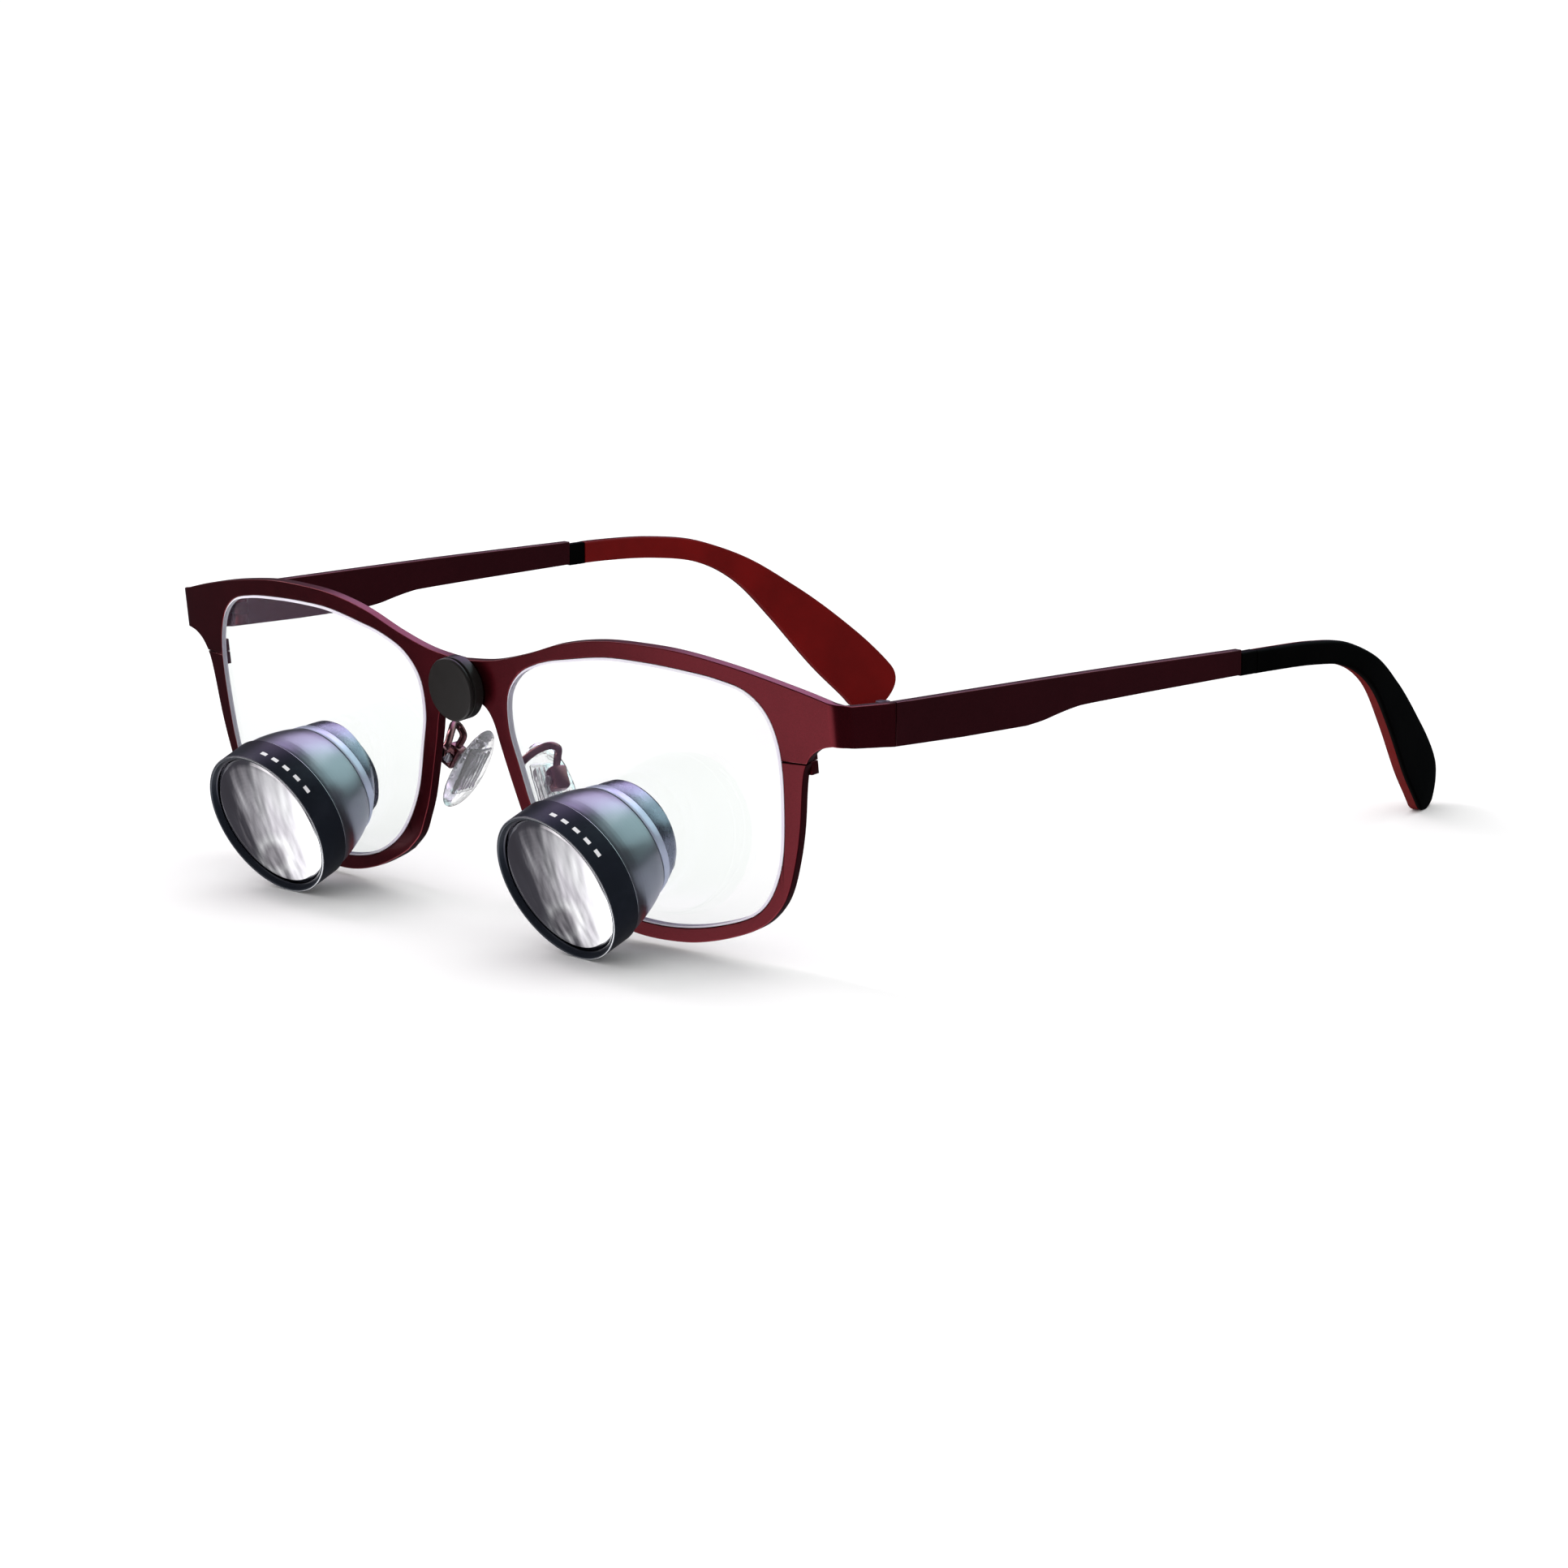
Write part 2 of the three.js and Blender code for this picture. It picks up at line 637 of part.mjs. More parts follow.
// Rings of a layer of the tip between two offsets from the middle (outwards positive).
// The outer offset and the width are rules of the distance from the tip's start.
function tipRings(start, end, steps, inner, outerRule, widthRule) {
  const rings = [];
  for (let i = 0; i <= steps; i++) {
    const share = i / steps;
    const distance = start + (end - start) * (1 - (1 - share) ** 1.35);
    const place = Math.min(distance / tipTotal, 1);
    const at = tipCurve.getPointAt(place);
    const tangent = tipCurve.getTangentAt(place);
    const outward = new Vector3(tangent.y, -tangent.x, 0).normalize();
    const upward = outward.clone().cross(tangent);
    const outer = outerRule(distance);
    const half = widthRule(distance) / 2;
    const round = Math.min(0.45, half * 0.5);
    const rim = Math.sign(outer) * round;
    const section = [
      [inner, -half],
      [outer - rim, -half],
      [outer, -half + round],
      [outer, half - round],
      [outer - rim, half],
      [inner, half],
    ];
    const ring = section.map(([a, b]) => at.clone().addScaledVector(outward, a).addScaledVector(upward, b));
    rings.push(outer > inner ? ring.reverse() : ring);
  }
  return rings;
}

function tipCore(grow) {
  const width = () => tip.coreHeight + 2 * grow;
  const half = tip.coreThickness / 2 + grow;
  const end = tipTotal - 14 + grow;
  return loft(tipRings(0, end, 18, -half, () => half, width));
}

function templeOutline() {
  const points = [
    [temple.gap, 16.5],
    [38.8, 16.15],
    [temple.length, 15.55],
    [temple.length, 11.75],
    ...smooth([[52, 11.65], [38.8, 11.5], [35.6, 11.3], [32.4, 10.8], [29.2, 10.2], [25.9, 9.85]], 12).map((p) => [p.x, p.y]),
    [13.1, 9.9],
    [temple.gap, 10.2],
  ];
  return points.map(([x, y]) => new Vector2(x, y));
}

function templeArm() {
  const shape = new THREE.Shape(templeOutline());
  const bevel = 0.15;
  const sheetBody = new THREE.ExtrudeGeometry(shape, {
    depth: sheet.thickness - 2 * bevel,
    bevelEnabled: true,
    bevelSize: bevel,
    bevelThickness: bevel,
    bevelOffset: -bevel,
    bevelSegments: 1,
  });
  const toSide = new Matrix4().makeBasis(new Vector3(0, 1, 0), new Vector3(0, 0, 1), new Vector3(1, 0, 0));
  sheetBody.applyMatrix4(toSide).translate(bevel - sheet.thickness, 0, 0);
  return join(sheetBody, tipCore(0));
}

function tipOuter() {
  const thickness = (distance) => layerThickness(tip.outerLayer, distance);
  const layer = loft(tipRings(tip.collar, tipTotal, 18, tip.glueGap, thickness, tipWidth));
  const collar = loft(tipRings(fitGap, tip.collar + 0.5, 3, -tip.innerLayer.start, thickness, tipWidth));
  const room = loft(tipRings(tip.collar - fitGap, tip.collar + 1, 1, -3, () => tip.glueGap, () => 9));
  return cut(join(cut(collar, room), layer), tipCore(fitGap));
}

function tipInner() {
  const width = (distance) => tipWidth(distance) + 0.15;
  const thickness = (distance) => -layerThickness(tip.innerLayer, distance);
  const layer = loft(tipRings(tip.collar, tipTotal, 18, -tip.glueGap, thickness, width));
  return cut(layer, tipCore(fitGap));
}

// ---------------------------------------------------------------- light mount on the bridge

function lightMountBase() {
  const { height, seatRadius, seatFront } = mount;
  const flange = postY(seatRadius, -seatFront, -0.06, 0, height, 28);
  const bore = postY(0.75, -seatFront + 0.35, 1, 0, height, 16);
  return cut(flange, bore);
}

function lightMountScrew() {
  const { height, seatFront } = mount;
  const back = sheet.thickness + 0.05;
  const shank = postY(0.7, -seatFront + 0.5, back + 0.1, 0, height, 16);
  const head = postY(1.6, back, back + 0.6, 0, height, 20);
  const slot = block(-2, 2, back + 0.35, back + 1, height - 0.15, height + 0.15);
  return cut(join(shank, head), slot);
}

// Profiles of the mount's turned pieces run along their axis from the bridge forwards.
function onMount(geometry) {
  return geometry.rotateX(Math.PI).translate(0, 0, mount.height);
}

function lightMountCap() {
  const { capRadius, capFront, seatRadius, seatFront } = mount;
  const pocket = seatRadius + 0.12;
  const profile = [
    [pocket, 0.12],
    [capRadius - 0.1, 0.12],
    [capRadius, 0.22],
    [capRadius, 1.85],
    [capRadius - 0.16, 1.9],
    [capRadius - 0.16, 2.05],
    [capRadius, 2.1],
    [capRadius, capFront - 0.18],
    [capRadius - 0.2, capFront],
    [0, capFront],
    [0, 2.1],
    [2.85, 2.1],
    [2.85, seatFront + 0.06],
    [pocket, seatFront + 0.06],
    [pocket, 0.12],
  ];
  const points = profile.map(([radius, depth]) => new Vector2(radius, depth));
  return onMount(new THREE.LatheGeometry(points, 28));
}

function capMagnet() {
  return postY(2.8, -2.07, -mount.seatFront - 0.04, 0, mount.height, 28);
}

// ---------------------------------------------------------------- assembly

function frontGroup() {
  const group = new THREE.Group();
  group.add(mesh("front_frame", frontFrame(), looks.frame()));
  const bridge = new THREE.Group();
  bridge.rotation.x = sheet.tilt;
  bridge.add(mesh("light_mount_base", lightMountBase(), looks.steel()));
  bridge.add(mesh("light_mount_screw", lightMountScrew(), looks.steel()));
  bridge.add(mesh("light_mount_cap", lightMountCap(), looks.cap()));
  bridge.add(mesh("cap_magnet", capMagnet(), looks.steel()));
  group.add(bridge);
  return group;
}

function padMeshes(side) {
  const group = new THREE.Group();
  group.applyMatrix4(padMatrix);
  group.add(mesh("nose_pad_" + side, nosePad(), looks.silicone()));
  group.add(mesh("pad_insert_" + side, padInsert(), looks.insert()));
  group.add(mesh("pad_screw_" + side, padScrew(), looks.steel()));
  return group;
}

function templeGroup(side) {
  const group = placeOnWing(new THREE.Group());
  group.add(mesh("endpiece_hinge_" + side, endpieceHinge(), looks.frame()));
  group.add(mesh("hinge_screw_" + side, hingeScrew(), looks.steel()));
  group.add(mesh("temple_hinge_" + side, templeHinge(), looks.temple()));
  group.add(mesh("temple_arm_" + side, templeArm(), looks.temple()));
  group.add(mesh("tip_outer_" + side, tipOuter(), looks.tipOuter()));
  group.add(mesh("tip_inner_" + side, tipInner(), looks.tipInner()));
  return group;
}

function rimLockMeshes(side) {
  const { height, slit, blockHeight } = closing;
  const upper = rimLock(height + slit / 2, height + slit / 2 + blockHeight);
  const lower = rimLock(height - slit / 2 - blockHeight, height - slit / 2);
  return [
    mesh("rim_lock_upper_" + side, upper, looks.frame()),
    mesh("rim_lock_lower_" + side, lower, looks.frame()),
    mesh("rim_lock_screw_" + side, rimLockScrew(), looks.steel()),
  ];
}

// One side of the spectacles, built on the wearer's left and mirrored for the right.
function sideGroup(side, mirror) {
  const group = new THREE.Group();
  group.scale.x = mirror;
  group.add(mesh("carrier_lens_" + side, carrierLens(), looks.clearLens()));
  group.add(...rimLockMeshes(side));
  group.add(...telescopeMeshes(side));
  group.add(mesh("pad_arm_" + side, padArm(), looks.wire()));
  group.add(padMeshes(side));
  group.add(templeGroup(side));
  return group;
}

function dentalLoupes() {
  const spectacles = new THREE.Group();
  spectacles.add(frontGroup(), sideGroup("left", 1), sideGroup("right", -1));
  spectacles.rotation.x = -restPitch;
  spectacles.updateMatrixWorld(true);
  const box = new THREE.Box3().setFromObject(spectacles, true);
  spectacles.position.set(0, -(box.min.y + box.max.y) / 2, -box.min.z);
  const root = new THREE.Group();
  root.add(spectacles);
  return root;
}

export default dentalLoupes();
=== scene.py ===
"""Dental loupes: high-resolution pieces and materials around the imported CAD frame.

Shapes are built in millimetres in the spectacles' own frame: origin on the front surface, midway
between the lenses and level with their middles, temples along +Y, up along +Z. REST carries that
frame to the row frame, where the loupes lie on the table.
"""
import bisect
import math

import bmesh
import bpy
from mathutils import Matrix, Vector


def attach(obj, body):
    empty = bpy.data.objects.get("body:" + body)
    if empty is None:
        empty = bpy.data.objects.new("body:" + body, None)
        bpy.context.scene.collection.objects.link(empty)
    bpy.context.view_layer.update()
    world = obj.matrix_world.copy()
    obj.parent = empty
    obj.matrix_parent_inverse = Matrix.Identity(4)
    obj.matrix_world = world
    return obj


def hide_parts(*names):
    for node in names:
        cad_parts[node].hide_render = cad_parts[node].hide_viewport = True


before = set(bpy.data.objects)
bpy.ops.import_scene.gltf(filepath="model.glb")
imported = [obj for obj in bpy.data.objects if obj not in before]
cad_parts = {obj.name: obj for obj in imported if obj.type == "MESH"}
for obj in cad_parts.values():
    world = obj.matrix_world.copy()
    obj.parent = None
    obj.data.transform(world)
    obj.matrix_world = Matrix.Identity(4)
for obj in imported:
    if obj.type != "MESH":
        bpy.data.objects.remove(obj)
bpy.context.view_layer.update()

# ---------------- driving dimensions, as in the CAD

REST = (
    Matrix.Translation((0, -0.06523394, 0.02284483))
    @ Matrix.Rotation(math.radians(-1.843), 4, "X")
    @ Matrix.Scale(0.001, 4)
)

THICKNESS = 1.5
FRONT_RADIUS = 443.0
TILT = math.radians(6.83)
CORNER_START = 71.0
CORNER_RADIUS = 2.8
SPLAY = math.radians(1.1)
WING_END = 15.0
FRAME_BEVEL = 0.16

SLIT_HEIGHT = 7.6
SLIT_WIDTH = 0.12

LENS_THICKNESS = 1.9
LENS_GAP = 0.04
LENS_BEVEL = 0.32

MOUNT_HEIGHT = 11.7
CAP_RADIUS = 4.8
CAP_FRONT = 2.65

TEMPLE_LENGTH = 70.8
TEMPLE_GAP = 0.06

TIP_COLLAR = 3.4
TIP_START_WIDTH = 3.6
TIP_END_WIDTH = 9.9
TIP_END_ROUND = 4.0
TIP_OUTER_LAYER = (0.9, 1.45)
TIP_INNER_LAYER = (0.8, 0.75)
TIP_LINING_SWELL = 0.75
TIP_RIM_STEPS = 6
CORE_SHORTER = 14
CORE_HALF_THICKNESS = 0.45
CORE_WIDTH = 2.2

PAD_CENTRE = Vector((9.44, 7.79, -3.25))
PAD_ACROSS = Vector((0.23, 0.97, 0))
PAD_ALONG = Vector((-0.49, 0.11, 0.86))
PAD_HALF_WIDTH = 4.1
PAD_HALF_LENGTH = 7.0
PAD_HALF_THICKNESS = 1.5
PAD_PIVOT = 3.2
PAD_FLATTER_SIDE = 0.72
WIRE_RADIUS = 0.57
FOOT_RADIUS = 0.85
FOOT_HALF_THICKNESS = 0.25
FOOT_CENTRE = (8.85, 2.1, 0.2)
BOX_BORE_RADIUS = 0.45

TELESCOPE_LIP = Vector((32.45, -12.65, -12.2))
DECLINATION = math.radians(22.6)
CONVERGENCE = math.radians(1.7)
EYEPIECE_END = 18.6
RING_RADIUS = 11.8
RING_EDGE = 11.6
RING_BRIGHT_EDGES = ((-0.1, 0.13), (4.87, 5.2))
INDEX_TURN = 35
INDEX_COUNT = 5
INDEX_PITCH = 11
INDEX_LENGTH = 5.5
INDEX_DEPTHS = (1.9, 2.5)
SEAT_GAP = 0.04
ROUND_SEGMENTS = 128
ON_AXIS = 1e-6

SIDES = (("left", 1), ("right", -1))


def put_in_scene(thing):
    bpy.context.scene.collection.objects.link(thing)


# ---------------- camera

AZIMUTH = 0.802848619
ELEVATION = 0.193114628
ROLL = -0.00240857
DISTANCE = 822.218
TARGET = Vector((68.6625, -2.267, 6.6204))
SENSOR_WIDTH = 36
FOCAL_LENGTH = 136.255900621118


def make_camera():
    """The camera looks at its target from one side, a little above, and rolls very slightly."""
    back = Vector((
        math.sin(AZIMUTH) * math.cos(ELEVATION),
        -math.cos(AZIMUTH) * math.cos(ELEVATION),
        math.sin(ELEVATION),
    ))
    level = Vector((math.cos(AZIMUTH), math.sin(AZIMUTH), 0))
    upright = back.cross(level)
    right = math.cos(ROLL) * level + math.sin(ROLL) * upright
    up = back.cross(right)
    turn = REST.to_3x3() * 1000
    axes = [turn @ axis for axis in (right, up, back)]
    data = bpy.data.cameras.new("camera")
    data.sensor_width = SENSOR_WIDTH
    data.lens = FOCAL_LENGTH
    data.clip_start = 0.05
    data.clip_end = 20
    camera = bpy.data.objects.new("camera", data)
    place = Matrix.Translation(REST @ (TARGET + back * DISTANCE))
    camera.matrix_world = place @ Matrix(axes).transposed().to_4x4()
    put_in_scene(camera)
    bpy.context.scene.camera = camera


# ---------------- curves


def knot_step(start, end, alpha):
    return max((end - start).length ** alpha, 1e-4) if alpha else 1.0


def catmull_rom(points, closed=False, alpha=0.5, per=24, repeat_ends=False):
    """A dense run of points on a Catmull-Rom curve. Alpha 0.5 is centripetal and 0 uniform."""
    p = [Vector(q) for q in points]
    if closed:
        p = [p[-1], *p, p[0], p[1]]
    elif repeat_ends:
        p = [p[0], *p, p[-1]]
    else:
        p = [2 * p[0] - p[1], *p, 2 * p[-1] - p[-2]]
    dense = []
    for a, b, c, d in zip(p, p[1:], p[2:], p[3:]):
        first, middle, last = (knot_step(u, v, alpha) for u, v in ((a, b), (b, c), (c, d)))
        start = ((b - a) / first - (c - a) / (first + middle) + (c - b) / middle) * middle
        end = ((c - b) / middle - (d - b) / (middle + last) + (d - c) / last) * middle
        for i in range(per):
            t = i / per
            dense.append(
                b + start * t + (3 * (c - b) - 2 * start - end) * t * t + (2 * (b - c) + start + end) * t**3
            )
    dense.append(p[1] if closed else p[-2])
    return dense


class Path:
    """A dense polyline that can be read by distance from its start."""

    def __init__(self, dense):
        self.points = dense
        self.reach = [0.0]
        for a, b in zip(dense, dense[1:]):
            self.reach.append(self.reach[-1] + (b - a).length)
        self.length = self.reach[-1]

    def at(self, distance):
        distance = min(max(distance, 0), self.length)
        low = min(bisect.bisect_right(self.reach, distance), len(self.reach) - 1) - 1
        span = self.reach[low + 1] - self.reach[low]
        share = (distance - self.reach[low]) / span if span else 0
        return self.points[low].lerp(self.points[low + 1], share)

    def tangent(self, distance):
        step = 0.05
        return (self.at(distance + step) - self.at(distance - step)).normalized()

    def spaced(self, count):
        return [self.at(self.length * i / count) for i in range(count + 1)]


def spline(points, count):
    """Evenly spaced 2-D points through a few given ones."""
    return Path(catmull_rom([(x, y, 0) for x, y in points], alpha=0.0, repeat_ends=True)).spaced(count)


# ---------------- mesh helpers


def new_object(name, mesh, material, body, replaced=()):
    """A piece of the object: it rides on a body and stands for the CAD nodes it replaces."""
    piece = bpy.data.objects.new(name, mesh)
    put_in_scene(piece)
    if not mesh.materials:
        mesh.materials.append(material)
    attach(piece, body)
    if replaced:
        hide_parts(*replaced)
    return piece


def fine_piece(node, side, mesh, look, body):
    """Stands in for one CAD node, in the slot of its look. Side is empty for a piece in the middle."""
    end = "_" + side if side else ""
    return new_object(node + "_fine" + end, mesh, LOOKS[look], body, [node + end])


def shade(mesh, sharp_degrees=45):
    """Smooth shading that keeps edges sharper than the given angle."""
    mesh.shade_smooth()
    mesh.set_sharp_from_angle(angle=math.radians(sharp_degrees))


def mesh_from(shape, matrix, mirror=1, sharp_degrees=45):
    """A mesh from a bmesh, carried to the row frame and mirrored for the right side.

    The faces are made to agree with each other, but some closed shapes come out facing inwards."""
    bmesh.ops.remove_doubles(shape, verts=shape.verts, dist=1e-5)
    shape.transform(matrix)
    if mirror < 0:
        shape.transform(Matrix.Scale(-1, 4, (1, 0, 0)))
    bmesh.ops.recalc_face_normals(shape, faces=shape.faces)
    shape.transform(REST)
    mesh = bpy.data.meshes.new("shape")
    shape.to_mesh(mesh)
    shape.free()
    shade(mesh, sharp_degrees)
    return mesh


def weigh_normals(piece):
    modifier = piece.modifiers.new("weighted", "WEIGHTED_NORMAL")
    modifier.keep_sharp = True


def offset_outline(points, distance):
    """A closed 2-D outline moved inwards by a distance, given clockwise."""
    count = len(points)
    moved = []
    for i in range(count):
        before = (points[i] - points[i - 1]).to_2d().normalized()
        after = (points[(i + 1) % count] - points[i]).to_2d().normalized()
        inwards = Vector((before.y, -before.x))
        normal = inwards + Vector((after.y, -after.x))
        normal.normalize()
        across = max(0.5, normal.dot(inwards))
        x = points[i].x + normal.x * distance / across
        y = points[i].y + normal.y * distance / across
        moved.append(Vector((x, y)))
    return moved


def bevel_profile(bevel, thickness, steps=3):
    """(inset, depth) pairs from the front face round both bevels to the back face."""
    front = []
    for i in range(steps + 1):
        angle = math.pi / 2 * i / steps
        front.append((bevel * (1 - math.sin(angle)), bevel * (1 - math.cos(angle))))
    return front + [(inset, thickness - depth) for inset, depth in reversed(front)]


def join_rings(shape, rings, material=0):
    """Faces between rings of equal length."""
    for low, high in zip(rings, rings[1:]):
        count = len(low)
        for k in range(count):
            m = (k + 1) % count
            shape.faces.new((low[k], low[m], high[m], high[k])).material_index = material


def sheet_shape(outline, profile, rim_material=0):
    """A flat solid with rounded edges: x along, y depth, z height. The outline runs clockwise."""
    shape = bmesh.new()
    rings = []
    for inset, depth in profile:
        ring = offset_outline(outline, inset)
        rings.append([shape.verts.new((p.x, depth, p.y)) for p in ring])
    join_rings(shape, rings, rim_material)
    caps = [shape.faces.new(rings[0]), shape.faces.new(rings[-1])]
    for cap in caps:
        cap.normal_update()
    bmesh.ops.triangulate(shape, faces=caps, ngon_method="EAR_CLIP")
    return shape


def slice_along(shape, places):
    """Adds edges across the shape so that it can bend there."""
    for x in places:
        everything = shape.verts[:] + shape.edges[:] + shape.faces[:]
        bmesh.ops.bisect_plane(shape, geom=everything, plane_co=(x, 0, 0), plane_no=(1, 0, 0), dist=1e-5)


def rounded_profile(profile, fillet):
    """A closed (radius, depth) profile with a small curve at each corner that is off the axis."""
    points = [Vector((r, d)) for r, d in profile]
    count = len(points)
    rounded = []
    for i, corner in enumerate(points):
        before, after = points[i - 1], points[(i + 1) % count]
        if corner.x < ON_AXIS:
            rounded.append(corner)
            continue
        reach = min(fillet, (before - corner).length * 0.4, (after - corner).length * 0.4)
        start = corner + (before - corner).normalized() * reach
        end = corner + (after - corner).normalized() * reach
        if (start - end).length < 0.25 * reach:
            rounded.append(corner)
            continue
        for t in (0, 0.33, 0.67, 1):
            rounded.append(start * (1 - t) ** 2 + corner * 2 * t * (1 - t) + end * t * t)
    return rounded


def turned_shape(profile, segments=ROUND_SEGMENTS, fillet=0.06, bright_edges=()):
    """A closed (radius, depth) profile turned about +Z, with its corners slightly rounded.

    Faces outside RING_EDGE that lie between two depths of bright_edges take the second material."""
    shape = bmesh.new()
    angles = [2 * math.pi * k / segments for k in range(segments)]
    rings = []
    for p in rounded_profile(profile, fillet):
        if p.x < ON_AXIS:
            rings.append([shape.verts.new((0, 0, p.y))] * segments)
            continue
        rings.append([shape.verts.new((p.x * math.cos(a), p.x * math.sin(a), p.y)) for a in angles])
    for low, high in zip(rings, rings[1:] + rings[:1]):
        for k in range(segments):
            m = (k + 1) % segments
            corners = list(dict.fromkeys((low[k], low[m], high[m], high[k])))
            if len(corners) > 2:
                face = shape.faces.new(corners)
                place = face.calc_center_median()
                outside = place.to_2d().length > RING_EDGE
                if outside and any(start < place.z < end for start, end in bright_edges):
                    face.material_index = 1
    return shape


def tube_shape(path, radius, sides=24, count=120):
    """A round wire along a path, with flat ends."""
    shape = bmesh.new()
    rings = []
    side = Vector((0, 0, 1))
    for i in range(count + 1):
        distance = path.length * i / count
        along = path.tangent(distance)
        side = (side - along * side.dot(along)).normalized()
        across = along.cross(side)
        centre = path.at(distance)
        ring = []
        for k in range(sides):
            angle = 2 * math.pi * k / sides
            spoke = side * math.cos(angle) + across * math.sin(angle)
            ring.append(shape.verts.new(centre + spoke * radius))
        rings.append(ring)
    close_rings(shape, rings)
    return shape


def close_rings(shape, rings):
    """Faces between rings, and one at each end."""
    join_rings(shape, rings)
    shape.faces.new(rings[0])
    shape.faces.new(rings[-1])


def rounded_block(low, high, bevel):
    """A box between two corners with rounded edges."""
    shape = bmesh.new()
    size = Vector(high) - Vector(low)
    bmesh.ops.create_cube(shape, size=1)
    shape.transform(Matrix.Diagonal((*size, 1)))
    shape.transform(Matrix.Translation((Vector(low) + Vector(high)) / 2))
    bmesh.ops.bevel(
        shape, geom=shape.edges[:], offset=bevel, segments=3, profile=0.5, affect="EDGES", clamp_overlap=True
    )
    return shape


def merged(*shapes):
    """One bmesh that holds several."""
    total = bmesh.new()
    for shape in shapes:
        part = bpy.data.meshes.new("part")
        shape.to_mesh(part)
        shape.free()
        total.from_mesh(part)
        bpy.data.meshes.remove(part)
    return total


def carve(mesh, cutters):
    """The mesh with other meshes cut away. A cutter only cuts where its faces point outwards."""
    target = bpy.data.objects.new("target", mesh)
    put_in_scene(target)
    helpers = [target]
    for cutter in cutters:
        tool = bpy.data.objects.new("tool", cutter)
        put_in_scene(tool)
        helpers.append(tool)
        modifier = target.modifiers.new("cut", "BOOLEAN")
        modifier.operation = "DIFFERENCE"
        modifier.solver = "EXACT"
        modifier.object = tool
    evaluated = target.evaluated_get(bpy.context.evaluated_depsgraph_get())
    result = bpy.data.meshes.new_from_object(evaluated)
    for helper in helpers:
        bpy.data.objects.remove(helper)
    return result


# ---------------- materials


class Look:
    """A material with a Principled shader and short calls for the nodes around it."""

    def __init__(self, name, colour, roughness, metallic=0.0, **sockets):
        self.material = bpy.data.materials.new(name)
        self.material.use_nodes = True
        self.nodes = self.material.node_tree.nodes
        self.links = self.material.node_tree.links
        self.shader = self.nodes["Principled BSDF"]
        self.shader.inputs["Base Color"].default_value = (*colour, 1)
        self.shader.inputs["Roughness"].default_value = roughness
        self.shader.inputs["Metallic"].default_value = metallic
        for socket, value in sockets.items():
            self.shader.inputs[socket.replace("_", " ")].default_value = value
        coordinates = self.nodes.new("ShaderNodeTexCoord")
        self.generated = coordinates.outputs["Generated"]
        self.place = coordinates.outputs["Object"]
        self.last_normal = None

    def noise(self, per_metre, detail=3.0, stretch=None):
        place = self.place
        if stretch:
            mapping = self.nodes.new("ShaderNodeMapping")
            mapping.inputs["Scale"].default_value = stretch
            self.links.new(place, mapping.inputs["Vector"])
            place = mapping.outputs["Vector"]
        texture = self.nodes.new("ShaderNodeTexNoise")
        texture.inputs["Scale"].default_value = per_metre
        texture.inputs["Detail"].default_value = detail
        self.links.new(place, texture.inputs["Vector"])
        return texture.outputs["Fac"]

    def grains(self, per_metre):
        texture = self.nodes.new("ShaderNodeTexVoronoi")
        texture.inputs["Scale"].default_value = per_metre
        self.links.new(self.place, texture.inputs["Vector"])
        return texture.outputs["Color"], texture.outputs["Distance"]

    def ramp(self, factor, stops):
        ramp = self.nodes.new("ShaderNodeValToRGB")
        elements = ramp.color_ramp.elements
        while len(elements) < len(stops):
            elements.new(0.5)
        for element, (position, colour) in zip(elements, stops):
            element.position = position
            element.color = (*colour, 1) if len(colour) == 3 else colour
        self.links.new(factor, ramp.inputs["Fac"])
        return ramp.outputs["Color"]

    def span(self, value, low, high):
        """A 0 to 1 value stretched to a range."""
        node = self.nodes.new("ShaderNodeMapRange")
        node.inputs["To Min"].default_value = low
        node.inputs["To Max"].default_value = high
        self.links.new(value, node.inputs["Value"])
        return node.outputs["Result"]

    def mix(self, factor, first, second, kind="FLOAT"):
        """A blend of two sockets. The factor is a number or a socket."""
        node = self.nodes.new("ShaderNodeMix")
        node.data_type = kind
        if isinstance(factor, float):
            node.inputs["Factor"].default_value = factor
        else:
            self.links.new(factor, node.inputs["Factor"])
        self.links.new(first, node.inputs["A"])
        self.links.new(second, node.inputs["B"])
        return node.outputs["Result"]

    def set(self, socket, value):
        self.links.new(value, self.shader.inputs[socket])

    def bump(self, height, distance, strength=1.0):
        node = self.nodes.new("ShaderNodeBump")
        node.inputs["Distance"].default_value = distance
        node.inputs["Strength"].default_value = strength
        self.links.new(height, node.inputs["Height"])
        if self.last_normal:
            self.links.new(self.last_normal, node.inputs["Normal"])
        self.last_normal = node.outputs["Normal"]
        self.links.new(self.last_normal, self.shader.inputs["Normal"])


def paint(name, dark, bright, roughness, metallic=0.75):
    """Satin metallic coating: fine flakes, a cloudy tone and a thin clear coat."""
    look = Look(name, bright, roughness, metallic, Coat_Weight=0.25, Coat_Roughness=0.12)
    flakes, _ = look.grains(9000)
    tone = look.noise(60, 2)
    look.set("Base Color", look.ramp(look.mix(0.35, tone, flakes), [(0.25, dark), (0.75, bright)]))
    look.set("Roughness", look.span(look.noise(500), roughness - 0.06, roughness + 0.08))
    look.bump(look.noise(5200, 1), 0.000006, 0.5)
    return look.material


def anodised(name, dark, bright, roughness, metallic=0.85):
    """Bead-blasted and anodised aluminium: a fine even grain with faint colour drift."""
    look = Look(name, bright, roughness, metallic, Coat_Weight=0.3, Coat_Roughness=0.25)
    look.set("Base Color", look.ramp(look.noise(45, 2), [(0.3, dark), (0.7, bright)]))
    look.set("Roughness", look.span(look.noise(900, 2), roughness - 0.04, roughness + 0.05))
    look.bump(look.noise(7000, 2), 0.000003, 0.35)
    return look.material


